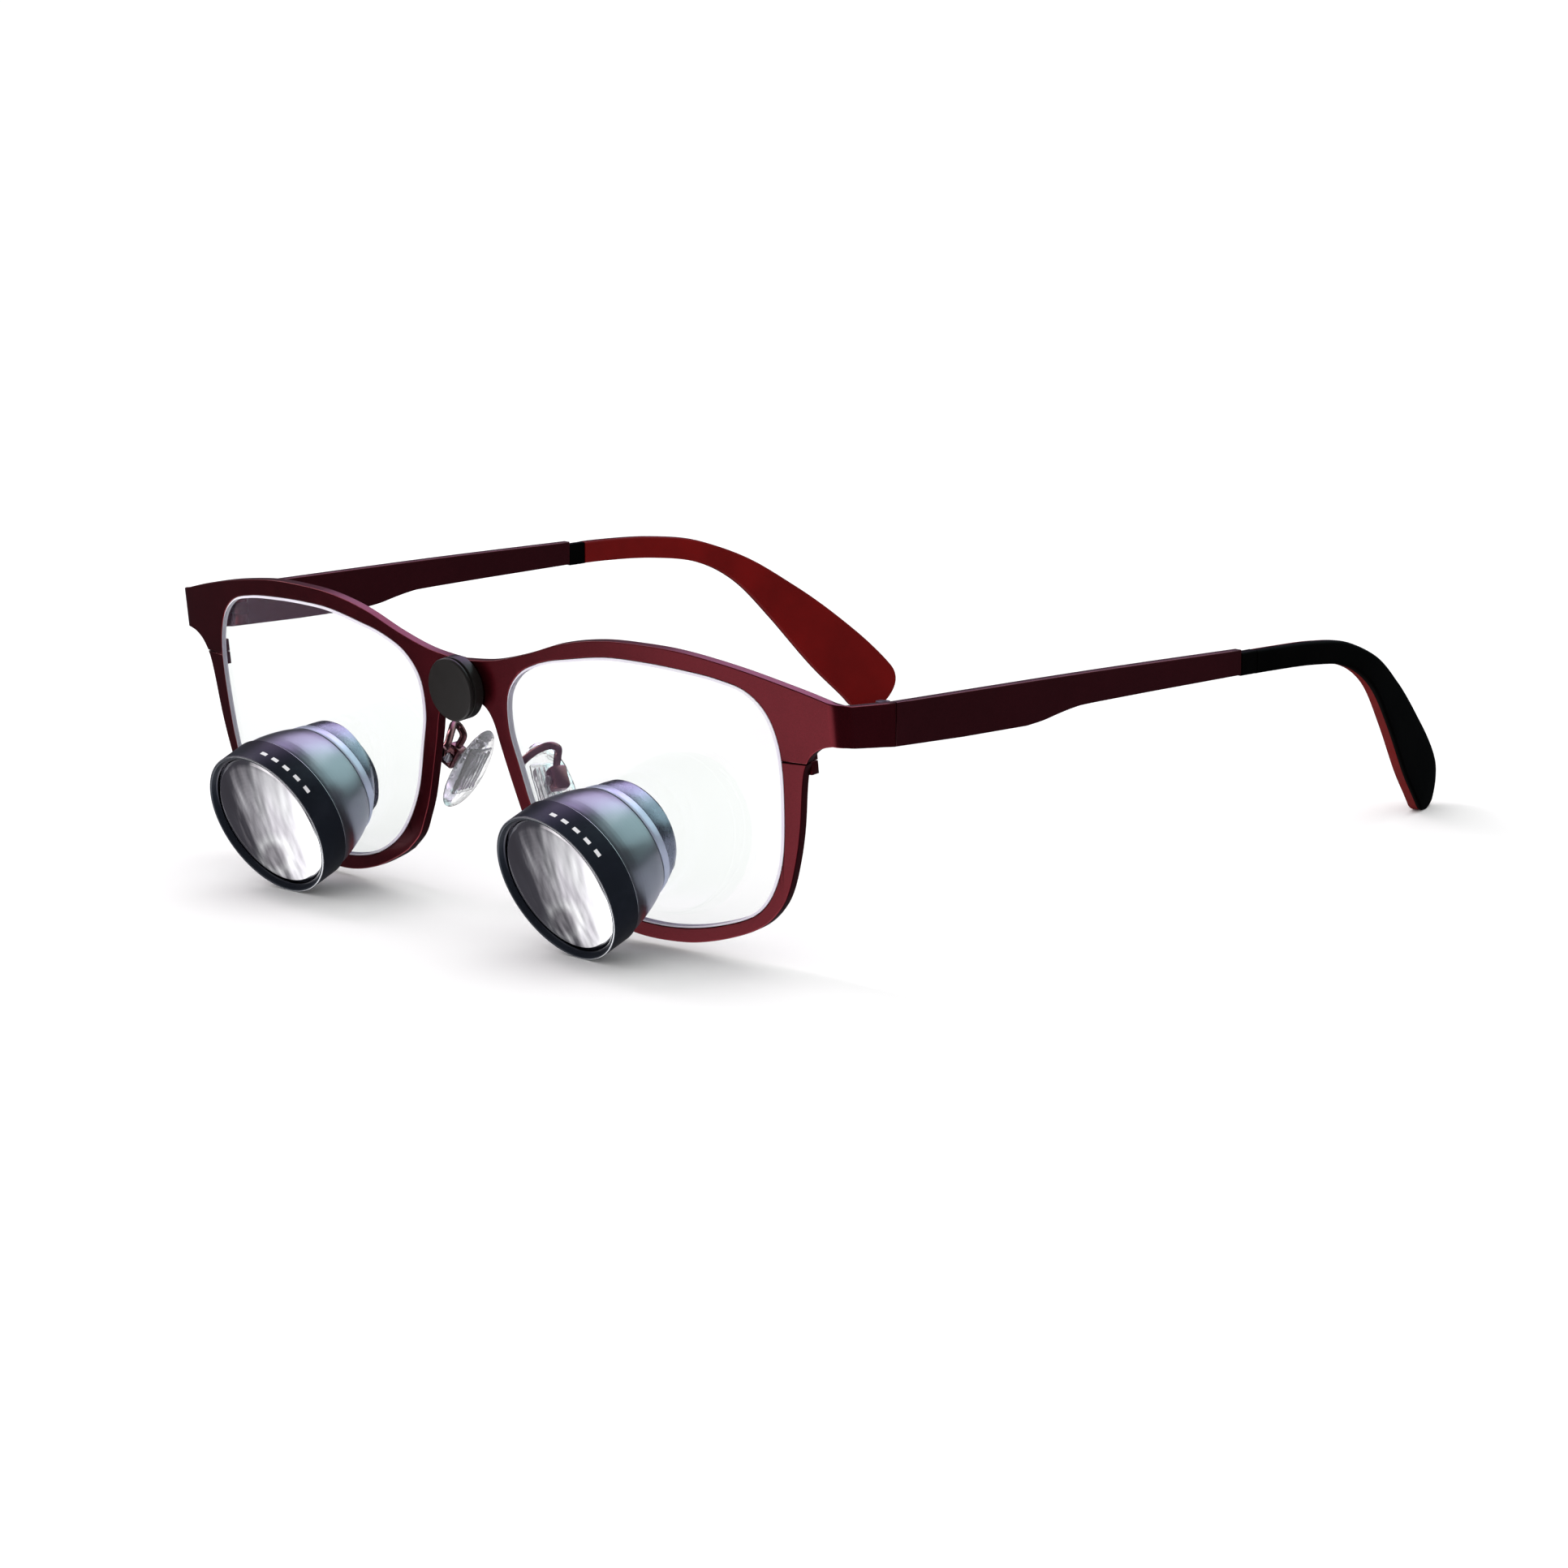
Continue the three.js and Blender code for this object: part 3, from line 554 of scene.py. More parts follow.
def plastic(name, dark, bright, roughness, grain=3500, depth=0.000015, **sockets):
    """Moulded plastic or rubber with a fine even grain."""
    look = Look(name, bright, roughness, 0.0, **sockets)
    look.set("Base Color", look.ramp(look.noise(120, 3), [(0.3, dark), (0.7, bright)]))
    look.set("Roughness", look.span(look.noise(700, 2), roughness - 0.06, roughness + 0.08))
    look.bump(look.noise(grain, 2), depth, 0.7)
    return look.material


def brushed(name, dark, bright, roughness):
    """Fine-turned steel."""
    look = Look(name, bright, roughness, 1.0)
    lines = look.noise(1500, 2, stretch=(1, 1, 12))
    look.set("Base Color", look.ramp(lines, [(0.3, dark), (0.7, bright)]))
    look.set("Roughness", look.span(lines, roughness - 0.08, roughness + 0.1))
    look.bump(lines, 0.000004, 0.5)
    return look.material


def clear(name, colour, roughness, ior, spots=900, transmission=1.0):
    """A clear solid with the faintest handling marks in its polish."""
    look = Look(name, colour, roughness, 0.0, Transmission_Weight=transmission, IOR=ior)
    marks = look.noise(spots, 3)
    look.set("Roughness", look.span(marks, roughness, roughness + 0.02))
    return look


# Painted reflections on the objective glass: the streak colours, then a white ring round a dark middle for
# the spot, with the spot's weights.
PAINTED_REFLECTION_COLOURS = ((0.25, (0.26, 0.20, 0.27)), (0.5, (0.52, 0.48, 0.56)), (0.68, (0.92, 0.92, 0.95)))
PAINTED_SPOT_COLOURS = ((0.1, (0.9, 0.9, 0.93)), (0.35, (0.98, 0.98, 1.0)), (0.6, (0.16, 0.12, 0.18)))
PAINTED_SPOT_WEIGHTS = ((0.0, (0, 0, 0)), (0.3, (0.85, 0.85, 0.85)))


def painted_reflection_streaks(look):
    """A stretched noise, and the painted reflection colours it gives: streaks that drift from dark purple to
    white across the glass.
    """
    streaks = look.noise(2.6, 3, stretch=(2.6, 1.0, 0.5))
    across = look.nodes.new("ShaderNodeSeparateXYZ")
    look.links.new(look.place, across.inputs["Vector"])
    return streaks, look.ramp(look.mix(0.45, streaks, across.outputs["X"]), PAINTED_REFLECTION_COLOURS)


def painted_reflection_spot(look):
    """A long tilted spot for painted reflections: 1 in its middle and 0 outside."""
    mapping = look.nodes.new("ShaderNodeMapping")
    mapping.vector_type = "TEXTURE"
    mapping.inputs["Location"].default_value = (0.44, 0.3, 0.20)
    mapping.inputs["Rotation"].default_value = (0, math.radians(-30), 0)
    mapping.inputs["Scale"].default_value = (0.34, 1.2, 0.17)
    look.links.new(look.place, mapping.inputs["Vector"])
    spot = look.nodes.new("ShaderNodeTexGradient")
    spot.gradient_type = "SPHERICAL"
    look.links.new(mapping.outputs["Vector"], spot.inputs["Vector"])
    return spot.outputs["Fac"]


def objective_glass():
    """Glass that mirrors part of the light, with painted reflections in its colour: streaks that curl round
    a painted dark spot low down.
    """
    look = Look("objective_glass", (0.62, 0.56, 0.66), 0.03, 0.6, Transmission_Weight=1.0, IOR=1.7)
    look.place = look.generated
    streaks, colours = painted_reflection_streaks(look)
    spot = painted_reflection_spot(look)
    curl = look.ramp(spot, PAINTED_SPOT_COLOURS)
    weight = look.ramp(spot, PAINTED_SPOT_WEIGHTS)
    # The base colour is painted reflection: the streak colours blended with the spot's white ring and dark
    # middle.
    look.set("Base Color", look.mix(weight, colours, curl, "RGBA"))
    look.set("Roughness", look.span(streaks, 0.03, 0.12))
    look.bump(look.noise(2.5, 2, stretch=(2.0, 1.0, 0.5)), 0.0004, 0.4)
    return look.material


def silicone():
    """Soft clear rubber with a slightly wavy skin."""
    look = clear("silicone", (0.985, 0.99, 0.995), 0.07, 1.3, transmission=0.93)
    _, cells = look.grains(500)
    look.bump(look.noise(480, 2), 0.0005, 0.7)
    look.bump(cells, 0.0003, 0.5)
    return look.material


def carrier_glass():
    """Coated spectacle glass: what little it mirrors is magenta."""
    look = clear("carrier_glass", (0.93, 0.93, 0.935), 0.0, 1.5)
    look.shader.inputs["Specular IOR Level"].default_value = 0.2
    look.shader.inputs["Specular Tint"].default_value = (0.95, 0.45, 0.8, 1)
    return look.material


def floor_look():
    look = Look("table", (0.95, 0.95, 0.95), 0.6, Specular_IOR_Level=0.0)
    stops = [(0.3, (0.948, 0.948, 0.948)), (0.7, (0.952, 0.952, 0.952))]
    look.set("Base Color", look.ramp(look.noise(3), stops))
    return look.material


LOOKS = {
    "frame_paint": paint("frame_paint", (0.11, 0.006, 0.012), (0.17, 0.011, 0.02), 0.3, 0.96),
    # The temples carry the same paint as the front; this copy's colour is made darker as painted shade.
    "temple_paint": paint("temple_paint", (0.07, 0.008, 0.013), (0.11, 0.012, 0.02), 0.34, 0.9),
    "carrier_lens": carrier_glass(),
    "ground_edge": plastic("ground_edge", (0.86, 0.80, 0.94), (0.97, 0.95, 1.0), 0.55, 6000, 0.000004),
    "objective_glass": objective_glass(),
    "eyepiece_glass": clear("eyepiece_glass", (0.8, 0.78, 0.9), 0.01, 1.6).material,
    "steel": brushed("steel", (0.4, 0.4, 0.41), (0.66, 0.66, 0.68), 0.3),
    "screw_steel": brushed("screw_steel", (0.08, 0.07, 0.07), (0.16, 0.15, 0.15), 0.34),
    "magnet": brushed("magnet", (0.55, 0.55, 0.57), (0.8, 0.8, 0.82), 0.16),
    "pad_wire": paint("pad_wire", (0.13, 0.045, 0.05), (0.24, 0.11, 0.11), 0.14, 1.0),
    "pad_silicone": silicone(),
    "pad_insert": clear("pad_insert_clear", (0.98, 0.985, 0.99), 0.06, 1.33, transmission=0.92).material,
    "objective_ring": anodised("ring_anodised", (0.012, 0.016, 0.026), (0.022, 0.030, 0.048), 0.34, 0.6),
    "barrel_body": anodised("body_anodised", (0.24, 0.27, 0.30), (0.31, 0.33, 0.37), 0.3, 0.97),
    "lock_ring": anodised("band_anodised", (0.5, 0.56, 0.72), (0.64, 0.7, 0.84), 0.34, 0.6),
    "eyepiece_housing": anodised("housing_anodised", (0.2, 0.23, 0.29), (0.27, 0.3, 0.36), 0.27, 0.97),
    "inner_black": plastic("inner_black", (0.004, 0.004, 0.004), (0.01, 0.01, 0.01), 0.7),
    "mount_cap": plastic(
        "cap_plastic", (0.010, 0.0085, 0.008), (0.016, 0.0135, 0.0125), 0.36, 5200, 0.00001,
        Specular_IOR_Level=0.35,
    ),
    "tip_outer": plastic(
        "tip_black", (0.0004, 0.0004, 0.0004), (0.0012, 0.001, 0.001), 0.6, 4200, 0.00001,
        Specular_IOR_Level=0.03,
    ),
    "tip_inner": plastic(
        "tip_red", (0.10, 0.0005, 0.0005), (0.14, 0.001, 0.0009), 0.5, 4200, 0.00001,
        Specular_IOR_Level=0.08,
    ),
    "bright_edge": brushed("bright_edge", (0.7, 0.72, 0.76), (0.92, 0.93, 0.96), 0.35),
    "index_paint": plastic("index_paint", (0.7, 0.7, 0.72), (0.85, 0.85, 0.87), 0.5, 6000, 0.000004),
}

# ---------------- the bent front


def corner_facts():
    slope = math.atan(CORNER_START / FRONT_RADIUS)
    turn = math.pi / 2 - SPLAY - slope
    start_y = CORNER_START**2 / (2 * FRONT_RADIUS)
    centre_x = CORNER_START - CORNER_RADIUS * math.sin(slope)
    centre_y = start_y + CORNER_RADIUS * math.cos(slope)
    end_angle = slope + turn
    return {
        "slope": slope,
        "start_y": start_y,
        "centre": (centre_x, centre_y),
        "end_angle": end_angle,
        "end_x": centre_x + CORNER_RADIUS * math.sin(end_angle),
        "end_y": centre_y - CORNER_RADIUS * math.cos(end_angle),
        "end": CORNER_START + CORNER_RADIUS * turn,
    }


CORNER = corner_facts()
PATTERN_END = CORNER["end"] + (WING_END - CORNER["end_y"]) / math.sin(CORNER["end_angle"])


def smoothstep(value, low, high):
    """0 up to low, 1 from high on, S-shaped between."""
    share = min(max((value - low) / (high - low), 0), 1)
    return share * share * (3 - 2 * share)


def bend_point(co):
    """Takes a point of the flat pattern (along, depth, height) to its bent place."""
    side = -1 if co.x < 0 else 1
    along, depth, height = abs(co.x), co.y, co.z
    if along <= CORNER_START:
        angle = math.atan(along / FRONT_RADIUS)
        x, y = along, along**2 / (2 * FRONT_RADIUS)
    elif along <= CORNER["end"]:
        angle = CORNER["slope"] + (along - CORNER_START) / CORNER_RADIUS
        x = CORNER["centre"][0] + CORNER_RADIUS * math.sin(angle)
        y = CORNER["centre"][1] - CORNER_RADIUS * math.cos(angle)
    else:
        angle = CORNER["end_angle"]
        x = CORNER["end_x"] + math.cos(angle) * (along - CORNER["end"])
        y = CORNER["end_y"] + math.sin(angle) * (along - CORNER["end"])
    x -= math.sin(angle) * depth
    y += math.cos(angle) * depth
    lean = 1 - smoothstep(along, CORNER["end"], PATTERN_END)
    lifted = min(y, CORNER["start_y"] + THICKNESS)
    sine, cosine = math.sin(TILT), math.cos(TILT)
    return Vector((side * x, y * cosine - lean * height * sine, lifted * sine + height * cosine))


def bend(shape, places):
    """Bends a flat pattern, which is first sliced at the given places."""
    slice_along(shape, places)
    for vertex in shape.verts:
        vertex.co = bend_point(vertex.co)


OPENING = [
    (62.0, 1.3), (61.9, 10.1), (60.1, 14.6), (56.9, 17.3), (51.9, 18.6), (44.1, 19.4), (37.2, 19.7),
    (30.7, 19.6), (23.2, 18.5), (18.2, 17.5), (12.9, 15.3), (9.9, 11.8), (9.3, 6.5), (10.6, 1.3),
    (13.4, -7.1), (18.4, -13.9), (25.9, -18.2), (37.2, -19.7), (48.4, -18.2), (56.2, -15.0),
    (60.2, -9.0),
]
BROW = [
    (0, 15.7), (7, 16.4), (14, 18.1), (22, 20.6), (30, 21.95), (38, 22.2), (46, 21.85), (56, 20.4),
    (65.8, 18.3), (71, 16.95),
]
SIDE = [
    (71.4, 10.6), (69.9, 10.3), (68.4, 9.6), (67.2, 8.5), (66.2, 6.8), (65.5, 4), (64.5, -2), (63.3, -6.7),
    (61.6, -11.4), (59.7, -14.4), (56.8, -17), (52.8, -18.95), (46.6, -20.8), (40.5, -21.75), (32.5, -21.7),
    (25.5, -20.1), (19.5, -17.5),
]
NOSE = [
    (17.2, -16.2), (14, -13.4), (12.2, -10.4), (10.6, -7.2), (9.3, -3.6), (8.1, 0), (7, 3.5), (6, 6.9),
    (4.6, 8.9), (2.4, 9.75), (0, 9.9),
]


def opening_outline(count=200):
    """The edge of one lens opening, anticlockwise from its temporal side."""
    path = Path(catmull_rom([(x, y, 0) for x, y in OPENING], closed=True))
    return path.spaced(count)[:-1]


def wing_corners():
    """The corners of the part that is turned back to the hinge."""
    start = CORNER["end"]
    corners = ((start, 16.25), (PATTERN_END, 15.75), (PATTERN_END, 9.4), (start, 10.15))
    return [Vector((x, y, 0)) for x, y in corners]


def opening_from_slit(low, high):
    """The opening's edge from just above its closing slit round to just below it."""
    opening = opening_outline()
    first = next(i for i, p in enumerate(opening) if p.x > 55 and p.y > high)
    turned = opening[first:] + opening[:first]
    return [p for p in turned if not (p.x > 61 and low <= p.y <= high)]


def front_outline():
    """The front's whole edge, clockwise, running in through each closing slit and round the opening."""
    side = spline(SIDE, 120)
    high, low = SLIT_HEIGHT + SLIT_WIDTH / 2, SLIT_HEIGHT - SLIT_WIDTH / 2
    around = opening_from_slit(low, high)
    above = [p for p in side if p.y > high + 0.05]
    below = [p for p in side if p.y < low - 0.05]
    slit_outer = (above[-1].x + below[0].x) / 2
    slit_inner = (around[0].x + around[-1].x) / 2
    slit_in = [Vector((slit_outer, high, 0)), Vector((slit_inner, high, 0))]
    slit_out = [Vector((slit_inner, low, 0)), Vector((slit_outer, low, 0))]
    temporal = [*wing_corners(), *above, *slit_in, *around, *slit_out, *below]
    half = [*spline(BROW, 70), *temporal, *spline(NOSE, 60)]
    other = [Vector((-p.x, p.y, 0)) for p in reversed(half)]
    return [p.to_2d() for p in half + other[1:-1]]


def front_frame():
    shape = sheet_shape(front_outline(), bevel_profile(FRAME_BEVEL, THICKNESS))
    flat = [4.0 * i for i in range(1, 18)]
    turn = [CORNER_START + (CORNER["end"] - CORNER_START) * i / 16 for i in range(17)]
    wing = [CORNER["end"] + 2.5 * i for i in range(1, 5)]
    places = flat + turn + wing
    bend(shape, [0, *places, *(-x for x in places)])
    mesh = mesh_from(shape, Matrix.Identity(4), sharp_degrees=60)
    weigh_normals(fine_piece("front_frame", "", mesh, "frame_paint", "front"))


def carrier_lens(side, mirror):
    """A clear pane with a ground safety bevel all round.

    The telescope's seat is meant to be cut from it, but that cutter faces inwards, so the pane stays
    whole and runs on through the inside of the barrel."""
    outline = [Vector((p.x, p.y)) for p in reversed(opening_outline(160))]
    front = (THICKNESS - LENS_THICKNESS) / 2
    back = front + LENS_THICKNESS
    profile = [
        (LENS_GAP + LENS_BEVEL, front), (LENS_GAP, front + LENS_BEVEL * 0.7),
        (LENS_GAP, back - LENS_BEVEL * 0.7), (LENS_GAP + LENS_BEVEL, back),
    ]
    shape = sheet_shape(outline, profile, rim_material=1)
    bend(shape, [2.0 * i for i in range(5, 31)])
    pane = mesh_from(shape, Matrix.Identity(4), mirror, 25)
    pane.materials.append(LOOKS["carrier_lens"])
    pane.materials.append(LOOKS["ground_edge"])
    wall = [(r + SEAT_GAP, d) for r, d in BODY_TAPER[2:] + BAND_TAPER + HOUSING_TAPER]
    seat = turned_shape([(0, 9), *wall, (wall[-1][0], 23), (0, 23)], fillet=0)
    mesh = carve(pane, [mesh_from(seat, telescope_matrix(), mirror)])
    mesh.shade_flat()
    fine_piece("carrier_lens", side, mesh, "carrier_lens", "front")


# ---------------- telescopes

BODY_TAPER = [(11.55, 5.1), (11.28, 7), (10.78, 9), (10.12, 11), (9.4, 12.6)]
BAND_TAPER = [(9.35, 12.78), (9.3, 13.2), (8.95, 14.3)]
HOUSING_TAPER = [(8.8, 14.4), (8.5, 15.8), (8.05, 17.3), (7.7, 17.7), (7, 17.9)]


def telescope_matrix():
    """Origin on the axis at the front ring's lip, +Z back along the telescope."""
    back = Vector((
        math.sin(CONVERGENCE) * math.cos(DECLINATION),
        math.cos(CONVERGENCE) * math.cos(DECLINATION),
        math.sin(DECLINATION),
    ))
    across = Vector((0, 0, 1)).cross(back).normalized()
    up = back.cross(across)
    return Matrix.Translation(TELESCOPE_LIP) @ Matrix((across, up, back)).transposed().to_4x4()


def dome(radius, edge, crown, count=16):
    """Points of a shallow dome from its edge to the axis."""
    points = []
    for i in range(count + 1):
        r = radius * (1 - i / count)
        points.append((r, crown + (edge - crown) * (r / radius) ** 2))
    return points


def curve_2d(points, count):
    """A smooth run through (radius, depth) points."""
    return [(p.x, p.y) for p in spline(points, count)]


def baffle_profile():
    """A tapered tube with nine light-catching steps down its inner wall."""
    wall = []
    count = 9
    for i in range(count):
        depth = 12.5 - i * 0.7
        radius = 7.75 + (12.5 - depth) * 0.29
        wall += [(radius, depth), (radius + 0.22, depth - 0.12), (radius + 0.3, depth - 0.6)]
    return [(9.6, 6.1), (10.2, 6.1), (9.2, 9.5), (8.25, 12.6), (7.72, 12.6), *wall]


TELESCOPE_PIECES = {
    "objective_ring": ("objective_ring", [
        (10.85, 0.85), (10.95, 0.55), (11.35, 0.06), (11.45, 0), (11.68, 0), (11.8, 0.14), (11.8, 4.84),
        (11.62, 5.05), (11.17, 5.05), (11.17, 0.85),
    ], 0.04),
    "objective_lens": ("objective_glass", [
        *reversed(dome(10.1, 0.62, 0.05)), (11.12, 1.25), *dome(11.12, 3, 3.5),
    ], 0.03),
    "lens_retainer": ("inner_black", [
        (10.3, 3.2), (11.12, 3.2), (11.12, 4.2), (10.3, 4.2), (10.15, 4.05), (10.3, 3.9), (10.15, 3.75),
        (10.3, 3.6),
    ], 0.03),
    "barrel_body": ("barrel_body", [
        (10.3, 4.25), (11.12, 4.25), (11.12, 5.14), *curve_2d([(11.48, 5.14), *BODY_TAPER[1:]], 12),
        (8.3, 12.6), (9.3, 9.5), (10.3, 6),
    ], 0.07),
    "baffle": ("inner_black", baffle_profile(), 0.02),
    "lock_ring": ("lock_ring", [
        (7.62, 12.78), *BAND_TAPER, (7.62, 14.3),
    ], 0.06),
    "eyepiece_housing": ("eyepiece_housing", [
        (6.75, 12.75), (7.57, 12.75), (7.57, 14.4), *HOUSING_TAPER, (7, EYEPIECE_END - 0.2),
        (6.8, EYEPIECE_END), (5.9, EYEPIECE_END), (5.9, EYEPIECE_END - 0.4), (6.35, EYEPIECE_END - 0.5),
        (6.35, 15.4), (6.75, 15),
    ], 0.09),
    "eyepiece_lens": ("eyepiece_glass", [
        *reversed(dome(6.3, 15.6, 16.4)), *dome(6.3, EYEPIECE_END - 0.6, EYEPIECE_END - 1.1),
    ], 0.02),
}


def index_marks(side, mirror):
    """Five short equal dashes printed round the top of the front ring."""
    shape = bmesh.new()
    inner, outer = RING_RADIUS - 0.02, RING_RADIUS + 0.025
    near, far = INDEX_DEPTHS
    corners = [(inner, near), (outer, near), (outer, far), (inner, far)]
    steps = 6
    for mark in range(INDEX_COUNT):
        off_middle = mark - INDEX_COUNT // 2
        middle = math.radians(90 + INDEX_TURN * mirror) + math.radians(INDEX_PITCH) * off_middle
        rings = []
        for i in range(steps + 1):
            angle = middle + math.radians(INDEX_LENGTH) * (i / steps - 0.5)
            x, y = math.cos(angle), math.sin(angle)
            rings.append([shape.verts.new((r * x, r * y, d)) for r, d in corners])
        close_rings(shape, rings)
    mesh = mesh_from(shape, telescope_matrix(), mirror, 30)
    new_object("ring_index_" + side, mesh, LOOKS["index_paint"], "front")


def telescope(side, mirror):
    for name, (look, profile, fillet) in TELESCOPE_PIECES.items():
        edges = RING_BRIGHT_EDGES if name == "objective_ring" else ()
        shape = turned_shape(profile, fillet=fillet, bright_edges=edges)
        mesh = mesh_from(shape, telescope_matrix(), mirror, 40)
        mesh.materials.append(LOOKS[look])
        if edges:
            mesh.materials.append(LOOKS["bright_edge"])
        fine_piece(name, side, mesh, look, "front")


# ---------------- nose pads


def pad_matrix():
    """Origin in the pad's middle, X across it, Y along it and Z out towards its box."""
    across = PAD_ACROSS.normalized()
    along = (PAD_ALONG - across * PAD_ALONG.dot(across)).normalized()
    outward = across.cross(along)
    return Matrix.Translation(PAD_CENTRE) @ Matrix((across, along, outward)).transposed().to_4x4()


def pad_shape():
    """A soft oval with a crowned inner face, a flatter outer face and a thin lip round its edge."""
    shape = bmesh.new()
    around, over = 72, 28
    rings = []
    for i in range(1, over):
        polar = math.pi * i / over
        ring = []
        for k in range(around):
            angle = 2 * math.pi * k / around
            flat = math.sin(polar) ** 0.7
            x = PAD_HALF_WIDTH * flat * math.cos(angle) * (1 - 0.1 * math.sin(angle))
            y = PAD_HALF_LENGTH * flat * math.sin(angle)
            height = math.cos(polar)
            z = -PAD_HALF_THICKNESS * height * (1.0 if height > 0 else PAD_FLATTER_SIDE)
            ring.append(shape.verts.new((x, y, z)))
        rings.append(ring)
    join_rings(shape, rings)
    for ring, z in ((rings[0], -PAD_HALF_THICKNESS), (rings[-1], PAD_HALF_THICKNESS * PAD_FLATTER_SIDE)):
        tip = shape.verts.new((0, 0, z))
        for k in range(around):
            shape.faces.new((ring[k], ring[(k + 1) % around], tip))
    return shape


def wire_path():
    """From the solder foot on the rim, back and round to the pad's box."""
    end = pad_matrix() @ Vector((0, 1.4, PAD_PIVOT + 0.1))
    return Path(catmull_rom([
        (8.75, 1.95, 0.2), (8.9, 3.1, 1.1), (10.0, 4.9, 2.7), (11.2, 6.5, 3.4), (11.5, 7.7, 2.9),
        (11.0, 8.1, 1.5), end,
    ]))


def pad_insert_shape():
    """The hard plate inside the pad, with its ridges and the tab that sits in the box."""
    plate = rounded_block((-2.1, -3.9, -0.35), (2.1, 3.9, 0.35), 0.3)
    tab = rounded_block((-0.48, -0.8, 0.1), (0.48, 0.8, PAD_PIVOT + 0.6), 0.12)
    ridges = []
    for i in range(5):
        start, end = -1.6 + 0.8 * i, -1.25 + 0.8 * i
        ridges.append(rounded_block((start, -3.2, -0.55), (end, 3.2, 0.55), 0.1))
    return merged(plate, tab, *ridges)


def nose_pad(side, mirror):
    matrix = pad_matrix()
    body = "pad_" + side
    pad = fine_piece("nose_pad", side, mesh_from(pad_shape(), matrix, mirror), "pad_silicone", body)
    insert = mesh_from(pad_insert_shape(), matrix, mirror)
    fine_piece("pad_insert", side, insert, "pad_insert", body)


def pad_box(mirror):
    """The little box that holds the pad's tab, hollow and bored across for its screw."""
    matrix = pad_matrix()
    pivot = PAD_PIVOT
    box = rounded_block((-1.3, -1.6, pivot - 1.1), (1.3, 1.9, pivot + 1.3), 0.45)
    slot = rounded_block((-0.62, -1.15, pivot - 2), (0.62, 1.15, pivot + 0.95), 0.1)
    bore = turned_shape([(0, -3), (BOX_BORE_RADIUS, -3), (BOX_BORE_RADIUS, 3), (0, 3)], 32, 0)
    bore.transform(Matrix.Translation((0, 0, pivot)) @ Matrix.Rotation(math.radians(90), 4, "Y"))
    outside, *cutters = (mesh_from(shape, matrix, mirror) for shape in (box, slot, bore))
    return carve(outside, cutters)


def wire_foot():
    """The round foot soldered to the rim."""
    low, high = -FOOT_HALF_THICKNESS, FOOT_HALF_THICKNESS
    foot = turned_shape([(0, low), (FOOT_RADIUS, low), (FOOT_RADIUS, high), (0, high)], 48, 0.1)
    foot.transform(Matrix.Translation(FOOT_CENTRE) @ Matrix.Rotation(math.radians(90) + TILT, 4, "X"))
    return foot


def pad_arm(side, mirror):
    """The bent wire with its soldered foot, and the box at its end."""
    wire = tube_shape(wire_path(), WIRE_RADIUS)
    total = bmesh.new()
    total.from_mesh(mesh_from(merged(wire, wire_foot()), Matrix.Identity(4), mirror))
    total.from_mesh(pad_box(mirror))
    mesh = bpy.data.meshes.new("arm")
    total.to_mesh(mesh)
    total.free()
    shade(mesh, 40)
    fine_piece("pad_arm", side, mesh, "pad_wire", "front")


# ---------------- temples


def wing_matrix():
    """Origin where the temple's outer face meets the end piece, +Y back along the temple, -X inwards."""
    along = WING_END - CORNER["end_y"]
    x = CORNER["end_x"] + along / math.tan(CORNER["end_angle"])
    return Matrix.Translation((x, WING_END, 0)) @ Matrix.Rotation(-SPLAY, 4, "Z")


def temple_outline():
    """The temple's side view as (along, height), clockwise."""
    lower = spline([(52, 11.65), (38.8, 11.5), (35.6, 11.3), (32.4, 10.8), (29.2, 10.2), (25.9, 9.85)], 40)
    top = spline([(TEMPLE_GAP, 16.5), (38.8, 16.15), (TEMPLE_LENGTH, 15.55)], 24)
    end = [Vector((TEMPLE_LENGTH, 11.75, 0))]
    front = [Vector((13.1, 9.9, 0)), Vector((TEMPLE_GAP, 10.2, 0))]
    return [p.to_2d() for p in [*top, *end, *lower, *front]]


def temple_arm(side, mirror):
    shape = sheet_shape(temple_outline(), bevel_profile(FRAME_BEVEL, THICKNESS))
    to_temple = Matrix(((0, -1, 0, 0), (1, 0, 0, 0), (0, 0, 1, 0), (0, 0, 0, 1)))
    shape.transform(to_temple)
    core = tip_loft(
        0, TIP_PATH.length - CORE_SHORTER, 40, lambda _: -CORE_HALF_THICKNESS,
        lambda _: CORE_HALF_THICKNESS, lambda _: CORE_WIDTH, 0.3,
    )
    mesh = mesh_from(merged(shape, core), wing_matrix(), mirror, 60)
    weigh_normals(fine_piece("temple_arm", side, mesh, "temple_paint", "temple_" + side))


TIP_PATH = Path(catmull_rom([
    (-0.75, 70.8, 13.35), (-0.9, 78, 13.3), (-2.1, 88.7, 12.75), (-4.1, 97.5, 11.3), (-6.2, 105.7, 7.6),
    (-9, 113.5, 1.1), (-12.1, 121.3, -6.7), (-14.6, 127.7, -13.3), (-15.8, 130.4, -17.2),
]))


def tip_width(distance):
    """Full height of the tip across its length."""
    swell = smoothstep(distance, 28, TIP_PATH.length - 9)
    near_end = max(0, distance - (TIP_PATH.length - TIP_END_ROUND)) / TIP_END_ROUND
    full = TIP_START_WIDTH + (TIP_END_WIDTH - TIP_START_WIDTH) * swell
    return full * math.sqrt(max(0.004, 1 - near_end**2))


def tip_split(distance):
    """Where the red lining meets the black shell: the lining thickens towards the paddle."""
    return TIP_LINING_SWELL * smoothstep(distance, 14, 50)


def layer_thickness(layer, distance):
    """A layer's thickness, from its first value near the arm to its second in the paddle."""
    return layer[0] + (layer[1] - layer[0]) * smoothstep(distance, 6, 42)


